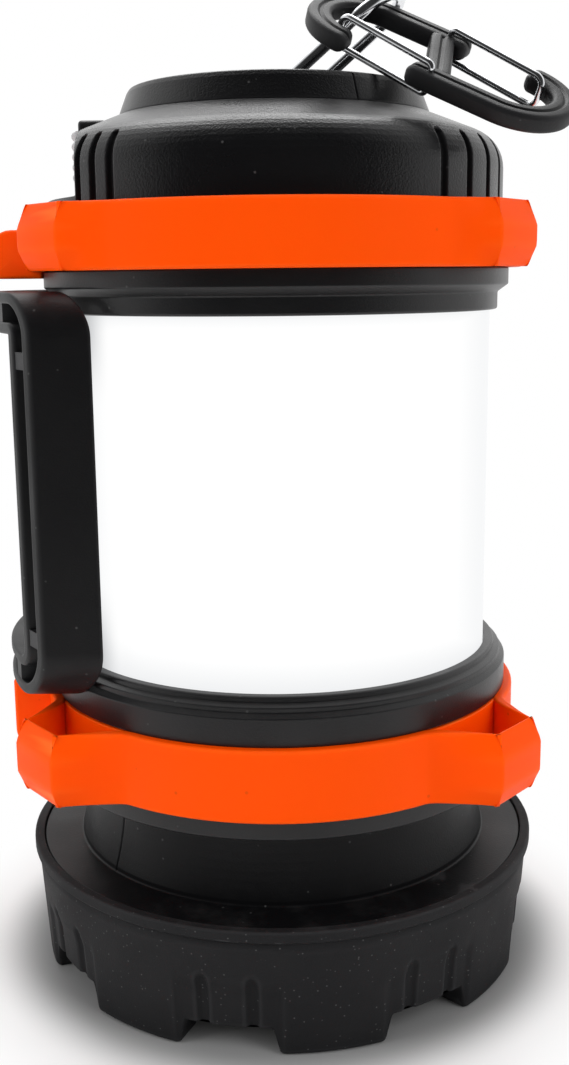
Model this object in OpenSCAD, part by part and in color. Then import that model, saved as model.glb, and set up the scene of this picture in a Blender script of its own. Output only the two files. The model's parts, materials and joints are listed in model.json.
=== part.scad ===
// Camping lantern: glowing drum between two bumper rings, torch head in the base,
// fold-out side handle, and a wire bail with a double-gated clip on the cap.
// Millimetres, +Z up, origin at the centre of the plane that the bezel's teeth stand on.

/* [Rubber bezel] */
// outer radius of the bezel's rim
bezel_r = 57.5; // [55:0.5:62]
// how far the foot of the bezel lies inside its rim
bezel_foot_in = 4.5; // [2.5:0.5:6]
// wall of the bezel's foot, down to its bore
bezel_wall = 6; // [4:0.5:8]
// height of the bezel from the teeth to the rim
bezel_h = 28; // [24:0.5:36]
// height of the band round the rim
bezel_band_h = 2.8; // [2:0.2:4]
// how far the band stands out from the skirt
bezel_band_step = 0.7; // [0.3:0.1:1.2]
// number of teeth
tooth_count = 8; // [6:1:12]
// angle that one tooth fills
tooth_angle = 24; // [18:1:28]
// depth of the notches between the teeth
tooth_h = 5.4; // [3:0.2:8]
// turn of the first tooth from the front
tooth_turn = 11.5; // [0:0.5:22]
// radius of the flutes above each notch
flute_r = 2.2; // [1.5:0.1:3]
// angle between the two flutes of a notch
flute_angle = 9; // [6:0.5:12]
// height of the flutes' top above the ground
flute_top = 14.5; // [10:0.5:18]

/* [Torch head] */
// room between the torch tube and the bezel's bore
torch_fit = 0.1; // [0.05:0.05:0.3]
// wall of the torch tube
torch_wall = 2.3; // [1.6:0.1:3]
// lower end of the torch tube above the ground
torch_lip_z = 3.6; // [2:0.2:5]
// width of the bezel's rim outside the flat plate
bezel_rim_w = 2.3; // [2:0.1:3]
// thickness of that plate
head_plate_t = 2.6; // [2:0.1:3.5]
// thickness of the retaining ring under the lens
lens_ring_t = 2.6; // [2:0.1:3.5]
// width of the retaining ring
lens_ring_w = 3.6; // [3:0.1:5]
// thickness of the torch lens
lens_t = 2.4; // [1.5:0.1:3]
// wire radius of the lens seal
lens_seal_r = 0.9; // [0.7:0.1:1.2]
// radius of the reflector's small end
reflector_neck_r = 7; // [6:0.5:9]
// wall of the reflector
reflector_wall = 0.9; // [0.7:0.1:1.4]
// radius of the torch light's board
torch_board_r = 13; // [11:0.5:16]
// thickness of the circuit boards
board_t = 1.6; // [1:0.1:2]
// side of the torch light's square lamp
torch_lamp_w = 5; // [4:0.5:7]
// height of the torch light's lamp
torch_lamp_h = 1; // [0.8:0.1:1.6]

/* [Neck and lower body] */
// radius of the neck where it meets the plate
neck_foot_r = 46.4; // [44:0.2:48]
// radius of the neck under the body
neck_top_r = 43.8; // [42:0.2:46]
// height of the neck above the plate
neck_h = 16.2; // [12:0.2:20]
// height of the neck's straight foot
neck_step_h = 1.2; // [0.8:0.1:2]
// wall of the neck
neck_wall = 2.4; // [2:0.1:3]
// how far the body's collars stand out from the drum
collar_out = 4.8; // [4.2:0.1:5.4]
// how deep the rings' seats lie inside the collars
ring_seat_in = 1.8; // [1.2:0.1:2.2]
// height of the collar under the lower ring
lower_collar_h = 4.2; // [3:0.2:6]
// thickness of the body's floor
floor_t = 2.2; // [1.6:0.1:3]
// wall of the lower body behind the ring
body_wall = 2.2; // [1.8:0.1:2.6]
// height of the flange above the lower ring
flange_h = 9.5; // [8:0.5:12]
// how far the neck's screws stand inside its wall
neck_screw_in = 9; // [7:0.5:11]
// radius of the neck's screws
neck_screw_r = 1.5; // [1.2:0.1:1.8]
// length of the neck's screws under their heads
neck_screw_l = 9; // [7:0.5:11]
// radius of the neck screws' heads
neck_head_r = 3; // [2.6:0.1:3.4]
// height of the neck screws' heads
neck_head_h = 1.8; // [1.4:0.1:2.2]
// radius of the wire hole through the decks
wire_hole_r = 3; // [2:0.5:4]

/* [Bumper rings] */
// height of the lower ring
lower_ring_h = 15; // [13:0.5:18]
// height of the upper ring
upper_ring_h = 12.6; // [11:0.5:16]
// thickness of the rings' bands
band_t = 3.6; // [3:0.1:4.6]
// how far a lower lug stands out from the band
lower_lug_out = 11; // [7:0.2:12]
// how far an upper lug stands out from the band
upper_lug_out = 5.2; // [4:0.2:9]
// width of a lug's outer face
lug_w = 15; // [12:0.5:18]
// width of a lug where it leaves the band
lug_root_w = 27; // [24:0.5:32]
// turn of the lower ring's lugs from the front
lower_lug_angle = 51; // [48:0.5:58]
// turn of the upper ring's lugs from the front
upper_lug_angle = 52.8; // [46:0.2:56]
// small turn of the lower ring as it is pressed on
lower_ring_turn = -0.4; // [-2:0.1:2]
// small turn of the upper ring as it is pressed on
upper_ring_turn = 1.9; // [-2:0.1:2]
// wall round a lug's pocket
lug_wall = 2.4; // [1.8:0.1:3]
// height of the slope at a lug's top and bottom
lug_chamfer = 3; // [2:0.2:4]
// how far a handle guard stands out from the band
guard_out = 7.9; // [6.5:0.1:9]
// width of a handle guard
guard_w = 22; // [16:1:28]
// radius of a guard's rounded outer edge
guard_round = 4.5; // [3:0.5:6]
// room between a ring and the seat it is pressed on
ring_fit = 0.1; // [0.05:0.05:0.2]

/* [Light drum] */
// outer radius of the diffuser
diffuser_r = 46; // [45:0.1:46.4]
// wall of the diffuser
diffuser_wall = 2; // [1.5:0.1:2.4]
// height of the diffuser between the collars
diffuser_h = 72.3; // [60:0.5:90]
// how deep the diffuser's ends sit in the collars
diffuser_seat = 2.2; // [1.5:0.1:3]
// room round the diffuser's ends
diffuser_fit = 0.15; // [0.1:0.05:0.3]
// wire radius of the two drum seals
drum_seal_r = 0.7; // [0.5:0.1:0.9]
// radius of the white column inside the drum
column_r = 9; // [7:0.5:12]
// number of lamps on the light board
lamp_count = 20; // [8:1:30]
// radius of the circle that the lamps stand on
lamp_circle_r = 30; // [20:1:36]
// side of one lamp
lamp_w = 2.8; // [2:0.1:3.5]
// height of one lamp
lamp_h = 0.8; // [0.5:0.1:1.2]

/* [Upper collar] */
// radius of the lip round the diffuser's top
upper_lip_r = 47.6; // [47.2:0.1:48]
// height of that lip
upper_lip_h = 3.6; // [3:0.1:5]
// radius of the wide step under the upper ring
upper_step_r = 49.8; // [49.5:0.1:50.4]
// height of the wide step
upper_step_h = 3.4; // [2.5:0.1:5]
// height of the slope between the lip and the step
upper_slope_h = 1.6; // [1:0.1:2.5]
// thickness of the deck above the light board
deck_t = 2; // [1.5:0.1:3]

/* [Cap] */
// outer radius of the cap
cap_r = 48.2; // [47:0.1:48.6]
// wall of the cap
cap_wall = 2.4; // [2:0.1:3]
// height of the cap's straight side
cap_side_h = 8.6; // [7:0.2:11]
// radius of the cap's rounded shoulder
cap_shoulder_r = 5; // [4:0.2:6]
// height of the cap from the ring to the crown
cap_h = 18.6; // [17:0.2:22]
// how far the flat that carries the switch lies inside the cap's round
cap_flat_in = 10; // [7:0.1:11]
// height of the sill that closes the cap's foot in front of the flat
cap_sill_h = 1.6; // [1:0.1:2.4]
// width of the grip grooves
groove_w = 1.7; // [1.2:0.1:2.4]
// depth of the grip grooves
groove_d = 1.1; // [0.6:0.1:1.4]
// angle between two grip grooves
groove_pitch = 9.6; // [9:0.1:14]
// turn of the first grip groove from the front
groove_start = 42; // [38:0.5:56]
// number of grip grooves on the right side
groove_right = 11; // [4:1:11]
// number of grip grooves on each side of the switch
groove_left = 3; // [1:1:3]
// turn of the first groove on the switch's side
groove_left_start = 38.8; // [34:0.2:40]
// angle between the grooves on the switch's side
groove_left_pitch = 6; // [5:0.2:6.4]
// radius of the crown's foot
crown_foot_r = 33; // [31:0.2:34]
// how far the crown's top edge lies inside its foot
crown_top_in = 2.4; // [1.6:0.1:3.4]
// height of the crown
crown_h = 5.6; // [5:0.2:8]
// width of the crown's top, round its dish
crown_rim_w = 4.6; // [3.6:0.1:6]
// depth of the dish in the crown
crown_dish_d = 2.8; // [2:0.1:3.4]

/* [Bail and its saddle] */
// wire radius of the bail
bail_wire_r = 1.25; // [1:0.05:1.5]
// half the width between the bail's legs
bail_half_w = 8.5; // [8.3:0.1:8.7]
// reach of the bail from its pivot to the wire's middle
bail_reach = 29.1; // [28.8:0.1:29.6]
// lean of the bail from upright
bail_lean = 52; // [51.5:0.5:52.5]
// turn of the bail's pivot from the back
bail_turn = 16.5; // [16:0.5:17]
// place of the pivot to the right of the axis
bail_x = 3.7; // [3.5:0.1:3.9]
// height of the pivot above the crown's dish
bail_pivot_h = 2.6; // [2.6:0.1:3]
// running room round the bail's trunnions
bail_fit = 0.06; // [0.02:0.01:0.1]
// length of the saddle's block along the pivot
saddle_l = 12; // [10:0.5:14]
// width of the saddle's block
saddle_w = 6.4; // [5.5:0.1:8]
// length of the saddle's foot
saddle_foot_l = 30; // [29:0.5:34]
// thickness of the saddle's foot
saddle_foot_t = 1; // [0.8:0.1:1.2]
// radius of the saddle's screw heads
saddle_head_r = 2; // [1.6:0.1:2.2]
// distance of the screws from the ends of the saddle's foot
saddle_screw_in = 2.6; // [2.4:0.1:2.8]

/* [Clip] */
// half the distance between the centres of the clip's round ends
clip_half_l = 16.5; // [16.2:0.1:16.7]
// outer radius of the clip's round ends
clip_r = 12.1; // [11.9:0.1:12.3]
// width of the clip's arms
clip_arm_w = 5; // [4.6:0.1:5.2]
// thickness of the clip
clip_t = 3.6; // [3.2:0.1:3.8]
// half the width of the gaps that the gates close
clip_gap_half = 6.6; // [6:0.1:7]
// place of the gaps' middle along the clip
clip_gap_x = 8.7; // [8.4:0.1:9]
// place of the diagonal bar's ends along the clip
clip_bar_x = 4.6; // [4:0.1:5]
// wire radius of the gates
gate_wire_r = 0.65; // [0.5:0.05:0.75]
// room between a gate's wires and the clip's faces
gate_room = 0.5; // [0.35:0.05:0.7]
// place of a gate's pivot along the clip
gate_pivot_x = 2.4; // [2:0.1:2.8]
// place of a gate's pivot across the clip
gate_pivot_y = 9.6; // [9.4:0.1:9.8]
// place of a gate's closed end along the clip
gate_end_x = 19.7; // [19.5:0.1:19.9]
// place of a gate's closed end across the clip
gate_end_y = 5.2; // [5:0.1:5.3]
// place of the clip's middle, right of the axis
clip_x = 32.4; // [32.2:0.1:32.7]
// place of the clip's middle, in front of the axis
clip_y = 21.7; // [21.5:0.1:21.9]
// height of the clip's middle above the crown's top
clip_z = 2.4; // [2.3:0.1:2.7]
// roll of the clip about its length
clip_roll = 24.4; // [24:0.1:24.8]
// dip of the clip's right end
clip_dip = 25.6; // [25.2:0.1:25.8]
// turn of the clip's length from the right
clip_heading = -21.4; // [-21.8:0.1:-21]

/* [Switch] */
// width of the switch housing
switch_w = 18; // [16:0.5:20]
// height of the switch housing
switch_h = 14.4; // [13:0.2:15]
// height of the switch housing's foot above the ring
switch_z = 3.6; // [3:0.1:4.4]
// depth of the switch housing
switch_d = 5.2; // [4.8:0.1:6]
// how far the housing stands out from the cap's flat
switch_out = 2.3; // [0.6:0.1:2.8]
// wall of the switch housing
switch_wall = 1.7; // [1.4:0.1:2]
// how far the pad stands out from its housing
pad_out = 1.9; // [0.9:0.1:2.4]
// travel of the pad
pad_travel = 0.7; // [0.5:0.1:0.8]
// room round the pad
pad_fit = 0.3; // [0.2:0.05:0.4]
// number of ribs on the pad
pad_ribs = 4; // [3:1:6]

/* [Charging port] */
// width of the port's flap
flap_w = 20; // [16:0.5:24]
// height of the port's flap above its hinge
flap_h = 7.6; // [7:0.2:8]
// thickness of the port's flap
flap_t = 2; // [1.6:0.1:2.4]
// radius of the flap's rounded foot
flap_foot_r = 2.5; // [2.2:0.1:2.7]
// how far the flap lies inside the cap's outline
flap_sunk = 0.4; // [0.3:0.1:0.6]
// room round the flap
flap_fit = 0.35; // [0.3:0.05:0.5]
// radius of the flap's trunnions
flap_pin_r = 0.9; // [0.7:0.05:1]
// running room round the trunnions
flap_pin_fit = 0.06; // [0.02:0.01:0.1]
// how far the trunnions reach into the cap
flap_pin_out = 1.8; // [1.4:0.1:2]
// height of the port above the ring
port_z = 1.4; // [1:0.1:2]
// width of the charging socket
socket_w = 9; // [8:0.1:10]
// height of the charging socket
socket_h = 4; // [3:0.1:4.4]
// distance from the axis to the port's floor
port_floor_y = 40.6; // [40:0.1:41]

/* [Side handle] */
// inner radius of the handle
handle_in_r = 51.3; // [51.2:0.1:52]
// depth of the handle, from its inner to its outer face
handle_depth = 9.1; // [7:0.1:10]
// half the width of the handle
handle_half_w = 38; // [37:0.2:39]
// room between the handle and the rings above and below
handle_ring_gap = 3.9; // [3.4:0.1:5]
// radius of the handle's outer corners
handle_corner_r = 13; // [12:0.5:14]
// thickness of each of the handle's two straps
strap_t = 2.3; // [1.8:0.1:2.6]
// room between the two straps
strap_gap = 3.6; // [3:0.1:4]
// width of the posts between the straps
post_w = 3.4; // [2.5:0.1:5]
// distance of the posts from the handle's middle
post_y = 24; // [20:0.5:24.5]
// how far the hinge lies inside the handle's end
hinge_in = 0.4; // [0.2:0.1:0.8]
// how far the hinge lies outside the handle's inner face
hinge_depth = 3.3; // [3:0.1:4]
// radius of the hinge knuckles
knuckle_r = 3; // [2.8:0.1:3.1]
// radius of the hinge pins
hinge_pin_r = 1.4; // [1.2:0.05:1.6]
// running room round the hinge pins
hinge_fit = 0.06; // [0.02:0.01:0.1]
// room between the knuckles and the rings
knuckle_gap = 0.4; // [0.3:0.05:0.6]
// how deep the hinge pins' bores go into the rings
hinge_pin_deep = 8; // [6:0.5:10]
// room between a hinge pin and the end of its bore
hinge_pin_room = 0.5; // [0.2:0.1:1]
// how far the hinge pins reach out of the rings
hinge_pin_out = 11; // [8:0.5:13]

/* [Battery and boards] */
// radius of a cell
cell_r = 9.1; // [8:0.1:9.3]
// length of a cell
cell_l = 65; // [60:0.5:68]
// room between the two cells
cell_gap = 1; // [0.5:0.1:2]
// wall of the cell tray
tray_wall = 1.2; // [1:0.1:1.6]
// radius of the main board
main_board_r = 36; // [30:0.5:38]
// height of the main board above the deck
main_board_z = 5; // [4:0.5:7]
// radius of the boards' posts
board_post_r = 2.2; // [1.8:0.1:3]

/* [Which piece] */
// the piece to show, or all

/* [Hidden] */
$fn = 96;

black = [0.09, 0.09, 0.1];
rubber = [0.13, 0.13, 0.14];
orange = [0.96, 0.33, 0.05];
white = [0.95, 0.95, 0.93];
chrome = [0.8, 0.81, 0.83];
grey = [0.72, 0.72, 0.73];
green = [0.05, 0.3, 0.15];
blue = [0.15, 0.3, 0.6];

eps = 0.01;
cut = 20;
curve_steps = 12;

bezel_foot_r = bezel_r - bezel_foot_in;
bezel_bore_r = bezel_foot_r - bezel_wall;
torch_tube_r = bezel_bore_r - torch_fit;
collar_r = diffuser_r + collar_out;
ring_seat_r = collar_r - ring_seat_in;
ring_r = ring_seat_r + band_t;
head_plate_r = bezel_r - bezel_rim_w;
guard_reach = ring_r + guard_out;
handle_out_r = handle_in_r + handle_depth;
hinge_y = handle_half_w - hinge_in;
hinge_x = sqrt(pow(handle_in_r + hinge_depth, 2) - pow(hinge_y, 2));
hinge_pin_l = hinge_pin_deep - hinge_pin_room + hinge_pin_out;
cap_flat_x = cap_r - cap_flat_in;
crown_top_r = crown_foot_r - crown_top_in;
crown_dish_r = crown_top_r - crown_rim_w;

plate_z = bezel_h - 0.4 - head_plate_t;
plate_top = bezel_h - 0.4;
tube_in_r = torch_tube_r - torch_wall;
neck_top_z = plate_top + neck_h;
neck_in_r = neck_top_r - neck_wall;
torch_lens_z = torch_lip_z + lens_ring_t;
torch_seal_z = torch_lens_z + lens_t;
reflector_z = torch_seal_z + 2 * lens_seal_r;
reflector_r = tube_in_r - 0.3;
bulkhead_z = plate_top - 0.6;
torch_board_z = bulkhead_z - board_t;
reflector_top = torch_board_z - torch_lamp_h - 0.4;

ring2_z = neck_top_z + lower_collar_h;
ring2_top = ring2_z + lower_ring_h;
flange_top = ring2_top + flange_h;
seat_z = flange_top - diffuser_seat;
drum_top = flange_top + diffuser_h;
seat_top_z = drum_top + diffuser_seat + 0.4;
seat_bore_r = diffuser_r + diffuser_fit;
drum_in_r = diffuser_r - diffuser_wall;
ledge_r = drum_in_r - 1;
inner_ledge_r = ledge_r - 2;
mirror_t = 1.2;
mirror_z = seat_z - mirror_t - 0.2;

lip_top = drum_top + upper_lip_h;
ring1_z = lip_top + upper_slope_h + upper_step_h;
ring1_top = ring1_z + upper_ring_h;
light_board_z = seat_top_z;
deck_z = light_board_z + board_t;
collar_bore_r = ring_seat_r - 2.8;

cap_z = ring1_top;
shoulder_z = cap_z + cap_side_h;
crown_z = cap_z + cap_h;
crown_top = crown_z + crown_h;
dish_z = crown_top - crown_dish_d;
bail_z = dish_z + bail_pivot_h;
shoulder_turn = 62;
shoulder_end_r = cap_r - cap_shoulder_r + cap_shoulder_r * cos(shoulder_turn);
shoulder_end_z = shoulder_z + cap_shoulder_r * sin(shoulder_turn);
crown_seat_r = crown_foot_r + 0.4;

handle_z = ring2_top + handle_ring_gap;
handle_top = ring1_z - handle_ring_gap;
handle_h = handle_top - handle_z;
inner_strap = strap_t + strap_gap;
handle_skin = handle_out_r + 2;

cell_z = neck_top_z + floor_t + tray_wall + cell_r;
cell_y = cell_r + cell_gap / 2;

// the cap's outer line, from the ring to the crown's seat
function shoulder_line(inset) = [for (i = [0 : curve_steps])
    let (t = shoulder_turn * i / curve_steps)
    [cap_r - cap_shoulder_r + (cap_shoulder_r - inset) * cos(t),
     shoulder_z + (cap_shoulder_r - inset) * sin(t)]];

// the neck's flared line, from its foot to the body
function neck_line() = [for (i = [0 : curve_steps])
    let (t = i / curve_steps)
    [neck_top_r + (neck_foot_r - neck_top_r) * pow(1 - t, 2),
     plate_top + neck_step_h + (neck_h - neck_step_h) * t]];

// the reflector's bowl, from the lens to the lamp
function bowl_line(inset) = [for (i = [0 : curve_steps])
    let (t = i / curve_steps)
    [reflector_neck_r + (reflector_r - 1 - reflector_neck_r) * sqrt(1 - t) + inset,
     reflector_z + 1 + (reflector_top - reflector_z - 1) * t]];

module ring_of(inner, outer, z, h) {
    translate([0, 0, z])
        difference() {
            cylinder(r = outer, h = h);
            translate([0, 0, -1]) cylinder(r = inner, h = h + 2);
        }
}

module rounded_rect(half_w, h, r) {
    union() {
        translate([-half_w, r]) square([2 * half_w, h - 2 * r]);
        translate([-half_w + r, 0]) square([2 * (half_w - r), h]);
        for (x = [-half_w + r, half_w - r])
            for (y = [r, h - r])
                translate([x, y]) circle(r = r);
    }
}

module rubber_bezel() {
    notch_angle = 360 / tooth_count - tooth_angle;
    notch_w = 2 * bezel_foot_r * sin(notch_angle / 2);
    notch_top_w = notch_w - 2.4;
    skirt_top_r = bezel_r - bezel_band_step;
    color(rubber)
        difference() {
            rotate_extrude()
                polygon([[bezel_bore_r, 0], [bezel_foot_r, 0],
                         [skirt_top_r, bezel_h - bezel_band_h],
                         [bezel_r, bezel_h - bezel_band_h + bezel_band_step],
                         [bezel_r, bezel_h - 0.5], [bezel_r - 0.5, bezel_h],
                         [head_plate_r + 0.15, bezel_h], [head_plate_r + 0.15, plate_z],
                         [bezel_bore_r, plate_z]]);
            for (i = [0 : tooth_count - 1])
                rotate([0, 0, tooth_turn + (i + 0.5) * 360 / tooth_count])
                    union() {
                        translate([0, -bezel_foot_r + cut / 2, 0])
                            rotate([90, 0, 0])
                                linear_extrude(cut)
                                    polygon([[-notch_w / 2, -1], [notch_w / 2, -1],
                                             [notch_top_w / 2, tooth_h], [-notch_top_w / 2, tooth_h]]);
                        for (s = [-1, 1])
                            rotate([0, 0, s * flute_angle / 2])
                                translate([0, -bezel_foot_r - flute_r * 0.55, tooth_h - 1])
                                    union() {
                                        cylinder(r = flute_r, h = flute_top - tooth_h + 1);
                                        translate([0, 0, flute_top - tooth_h + 1]) sphere(r = flute_r);
                                    }
                    }
        }
}

module torch_shell() {
    color(black)
        difference() {
            rotate_extrude()
                polygon(concat(
                    [[wire_hole_r, bulkhead_z], [tube_in_r, bulkhead_z], [tube_in_r, torch_lip_z],
                     [torch_tube_r, torch_lip_z], [torch_tube_r, plate_z], [head_plate_r, plate_z],
                     [head_plate_r, plate_top], [neck_foot_r, plate_top]],
                    neck_line(),
                    [[neck_in_r, neck_top_z], [neck_in_r, bulkhead_z + 2], [wire_hole_r, bulkhead_z + 2]]));
            neck_screw_holes();
        }
}

module neck_screw_holes() {
    for (i = [0 : 2])
        rotate([0, 0, 120 * i + 30])
            translate([neck_in_r - neck_screw_in, 0, bulkhead_z - 1])
                cylinder(r = neck_screw_r + 0.2, h = 4);
}

module neck_screws() {
    color(chrome)
        for (i = [0 : 2])
            rotate([0, 0, 120 * i + 30])
                translate([neck_in_r - neck_screw_in, 0, bulkhead_z])
                    union() {
                        translate([0, 0, -neck_head_h]) cylinder(r = neck_head_r, h = neck_head_h);
                        translate([0, 0, -0.1]) cylinder(r = neck_screw_r, h = neck_screw_l);
                    }
}

module torch_reflector() {
    color(chrome)
        rotate_extrude()
            polygon(concat([[reflector_r, reflector_z]], [[reflector_r, reflector_z + 1]],
                           bowl_line(reflector_wall),
                           [for (i = [curve_steps : -1 : 0]) bowl_line(0)[i]],
                           [[reflector_r - 1, reflector_z]]));
}

module torch_lens() {
    color(white) translate([0, 0, torch_lens_z]) cylinder(r = reflector_r, h = lens_t);
}

module lens_seal() {
    color(rubber)
        ring_of(reflector_r - 2 * lens_seal_r, reflector_r, torch_seal_z, 2 * lens_seal_r);
}

module lens_ring() {
    color(black)
        ring_of(tube_in_r - lens_ring_w, tube_in_r - 0.05, torch_lip_z, lens_ring_t);
}

module torch_board() {
    color(green) translate([0, 0, torch_board_z]) cylinder(r = torch_board_r, h = board_t);
}

module torch_lamp() {
    color(white)
        translate([-torch_lamp_w / 2, -torch_lamp_w / 2, torch_board_z - torch_lamp_h])
            cube([torch_lamp_w, torch_lamp_w, torch_lamp_h]);
}

module lower_body() {
    flange_step = 1.1;
    color(black)
        union() {
            rotate_extrude()
                polygon([[wire_hole_r, neck_top_z], [collar_r, neck_top_z],
                         [collar_r, ring2_z], [ring_seat_r, ring2_z],
                         [ring_seat_r, ring2_top], [collar_r, ring2_top],
                         [collar_r, seat_z - 1.5], [collar_r - flange_step, seat_z - 0.6],
                         [collar_r - flange_step, seat_z + 0.4], [seat_bore_r + 2.2, seat_z + 1],
                         [seat_bore_r + 2.2, flange_top], [seat_bore_r, flange_top],
                         [seat_bore_r, seat_z], [ledge_r, seat_z], [ledge_r, mirror_z],
                         [inner_ledge_r, mirror_z], [inner_ledge_r, mirror_z - 1.5],
                         [ring_seat_r - body_wall, mirror_z - 6],
                         [ring_seat_r - body_wall, neck_top_z + floor_t],
                         [wire_hole_r, neck_top_z + floor_t]]);
            for (i = [0 : 2])
                rotate([0, 0, 120 * i + 30])
                    translate([neck_in_r - 9, 0, bulkhead_z + 2])
                        ring_of(1.5, 3.5, 0, neck_top_z - bulkhead_z - 2 + eps);
        }
}

module lug_shape(z, h, angle, lug_out, pocket) {
    root = ring_r - 2.2;
    lug_reach = ring_r + lug_out;
    in = lug_wall * 1.5;
    translate([0, 0, z])
        intersection() {
            rotate([0, 0, angle - 90])
                difference() {
                    linear_extrude(h)
                        polygon([[root, -lug_root_w / 2], [lug_reach, -lug_w / 2],
                                 [lug_reach, lug_w / 2], [root, lug_root_w / 2]]);
                    if (pocket)
                        translate([0, 0, -1])
                            linear_extrude(h + 2)
                                polygon([[root + 0.6, -lug_root_w / 2 + in],
                                         [lug_reach - lug_wall, -lug_w / 2 + lug_wall * 0.6],
                                         [lug_reach - lug_wall, lug_w / 2 - lug_wall * 0.6],
                                         [root + 0.6, lug_root_w / 2 - in]]);
                }
            rotate_extrude()
                polygon([[root - 4, 0], [lug_reach - 1.6, 0], [lug_reach + 1.8, lug_chamfer],
                         [lug_reach + 1.8, h - lug_chamfer], [lug_reach - 1.6, h], [root - 4, h]]);
        }
}

module handle_guard(z, h, up) {
    flip = up ? 0 : 1;
    translate([0, 0, z + flip * h])
        mirror([0, 0, flip])
            intersection() {
                translate([-guard_reach, -guard_w / 2, 0]) cube([guard_reach, guard_w, h]);
                rotate_extrude()
                    polygon(concat([[ring_r - 2, 0], [guard_reach + 0.8, 0]],
                                   [for (i = [0 : curve_steps])
                                       let (t = 90 * i / curve_steps)
                                       [guard_reach + 0.8 - guard_round + guard_round * cos(t),
                                        h - guard_round + guard_round * sin(t)]],
                                   [[ring_r - 2, h]]));
            }
}

module hinge_bore(z, h) {
    translate([-hinge_x, hinge_y, z]) cylinder(r = hinge_pin_r, h = h);
}

module bumper(z, h, angle, turn, lug_out) {
    union() {
        difference() {
            union() {
                rotate_extrude()
                    polygon([[ring_seat_r + ring_fit, z], [ring_r - 0.5, z], [ring_r, z + 0.6],
                             [ring_r, z + h - 0.6], [ring_r - 0.5, z + h],
                             [ring_seat_r + ring_fit, z + h]]);
                for (s = [-1, 1])
                    lug_shape(z, h, turn + s * angle, lug_out, true);
                lug_shape(z, h, turn + 180 - angle, lug_out, true);
                lug_shape(z, h, turn + 180 + angle, lug_out, false);
            }
            children();
        }
    }
}

module lower_ring() {
    color(orange)
        union() {
            bumper(ring2_z, lower_ring_h, lower_lug_angle, lower_ring_turn, lower_lug_out)
                hinge_bore(ring2_top - hinge_pin_deep, hinge_pin_deep + 1);
            handle_guard(ring2_z, lower_ring_h + 1.4, false);
        }
}

module upper_ring() {
    color(orange)
        union() {
            bumper(ring1_z, upper_ring_h, upper_lug_angle, upper_ring_turn, upper_lug_out)
                hinge_bore(ring1_z - 1, hinge_pin_deep + 1);
            handle_guard(ring1_z - 1.4, upper_ring_h - 2.6, true);
        }
}

module cell_tray() {
    tray_l = cell_l + 2 * tray_wall;
    tray_w = 2 * cell_r + cell_gap + 2 * cell_r;
    color(black)
        difference() {
            translate([-tray_l / 2, -tray_w / 2, neck_top_z + floor_t])
                cube([tray_l, tray_w, cell_r + tray_wall]);
            for (s = [-1, 1])
                translate([-cell_l / 2 - 0.1, s * cell_y, cell_z])
                    rotate([0, 90, 0]) cylinder(r = cell_r + 0.05, h = cell_l + 0.2);
            translate([0, 0, neck_top_z]) cylinder(r = wire_hole_r, h = cell_r * 2);
        }
}

module battery_cells() {
    color(blue)
        for (s = [-1, 1])
            translate([-cell_l / 2, s * cell_y, cell_z])
                rotate([0, 90, 0]) cylinder(r = cell_r, h = cell_l);
}

module floor_mirror() {
    color(white)
        ring_of(wire_hole_r, ledge_r - 0.1, mirror_z, mirror_t);
}

module lower_drum_seal() {
    color(rubber)
        ring_of(ledge_r + 0.1, ledge_r + 0.1 + 2 * drum_seal_r - 0.5, seat_z, 1);
}

module diffuser() {
    color(white)
        ring_of(drum_in_r, diffuser_r, seat_z, seat_top_z - seat_z - 0.4);
}

module upper_drum_seal() {
    color(rubber)
        ring_of(drum_in_r, diffuser_r, seat_top_z - 0.4, 0.4);
}

module light_column() {
    color(white)
        ring_of(wire_hole_r, column_r, mirror_z + mirror_t, light_board_z - mirror_z - mirror_t);
}

module light_board() {
    color(white)
        ring_of(wire_hole_r, ledge_r - 0.7, light_board_z, board_t);
}

module drum_lamps() {
    color(white)
        for (i = [0 : lamp_count - 1])
            rotate([0, 0, i * 360 / lamp_count])
                translate([lamp_circle_r - lamp_w / 2, -lamp_w / 2, light_board_z - lamp_h])
                    cube([lamp_w, lamp_w, lamp_h]);
}

module upper_collar() {
    color(black)
        union() {
            rotate_extrude()
                polygon([[seat_bore_r, drum_top], [upper_lip_r, drum_top], [upper_lip_r, lip_top],
                         [upper_step_r, lip_top + upper_slope_h], [upper_step_r, ring1_z],
                         [ring_seat_r, ring1_z], [ring_seat_r, ring1_top],
                         [collar_bore_r, ring1_top], [collar_bore_r, deck_z + deck_t],
                         [wire_hole_r, deck_z + deck_t], [wire_hole_r, deck_z],
                         [ledge_r - 0.5, deck_z], [ledge_r - 0.5, seat_top_z],
                         [seat_bore_r, seat_top_z]]);
            for (i = [0 : 3])
                rotate([0, 0, 90 * i + 45])
                    translate([main_board_r - 4, 0, deck_z + deck_t - eps])
                        cylinder(r = board_post_r, h = main_board_z + eps);
        }
}

module main_board() {
    color(green)
        translate([0, 0, deck_z + deck_t + main_board_z]) cylinder(r = main_board_r, h = board_t);
}

module charge_socket() {
    board_top = deck_z + deck_t + main_board_z + board_t;
    color(chrome)
        union() {
            translate([-socket_w / 2, main_board_r - 8, board_top])
                cube([socket_w, 6, port_mid() - socket_h / 2 - board_top + socket_h]);
            translate([-socket_w / 2, main_board_r - 4, port_mid() - socket_h / 2])
                cube([socket_w, port_floor_y + 0.6 - main_board_r + 4, socket_h]);
        }
}

function port_mid() = flap_axis_z() + flap_h / 2;

module cap_outline() {
    rotate_extrude()
        polygon(concat([[0, cap_z], [cap_r, cap_z]], shoulder_line(0),
                       [[crown_seat_r, crown_z], [0, crown_z]]));
}

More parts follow.
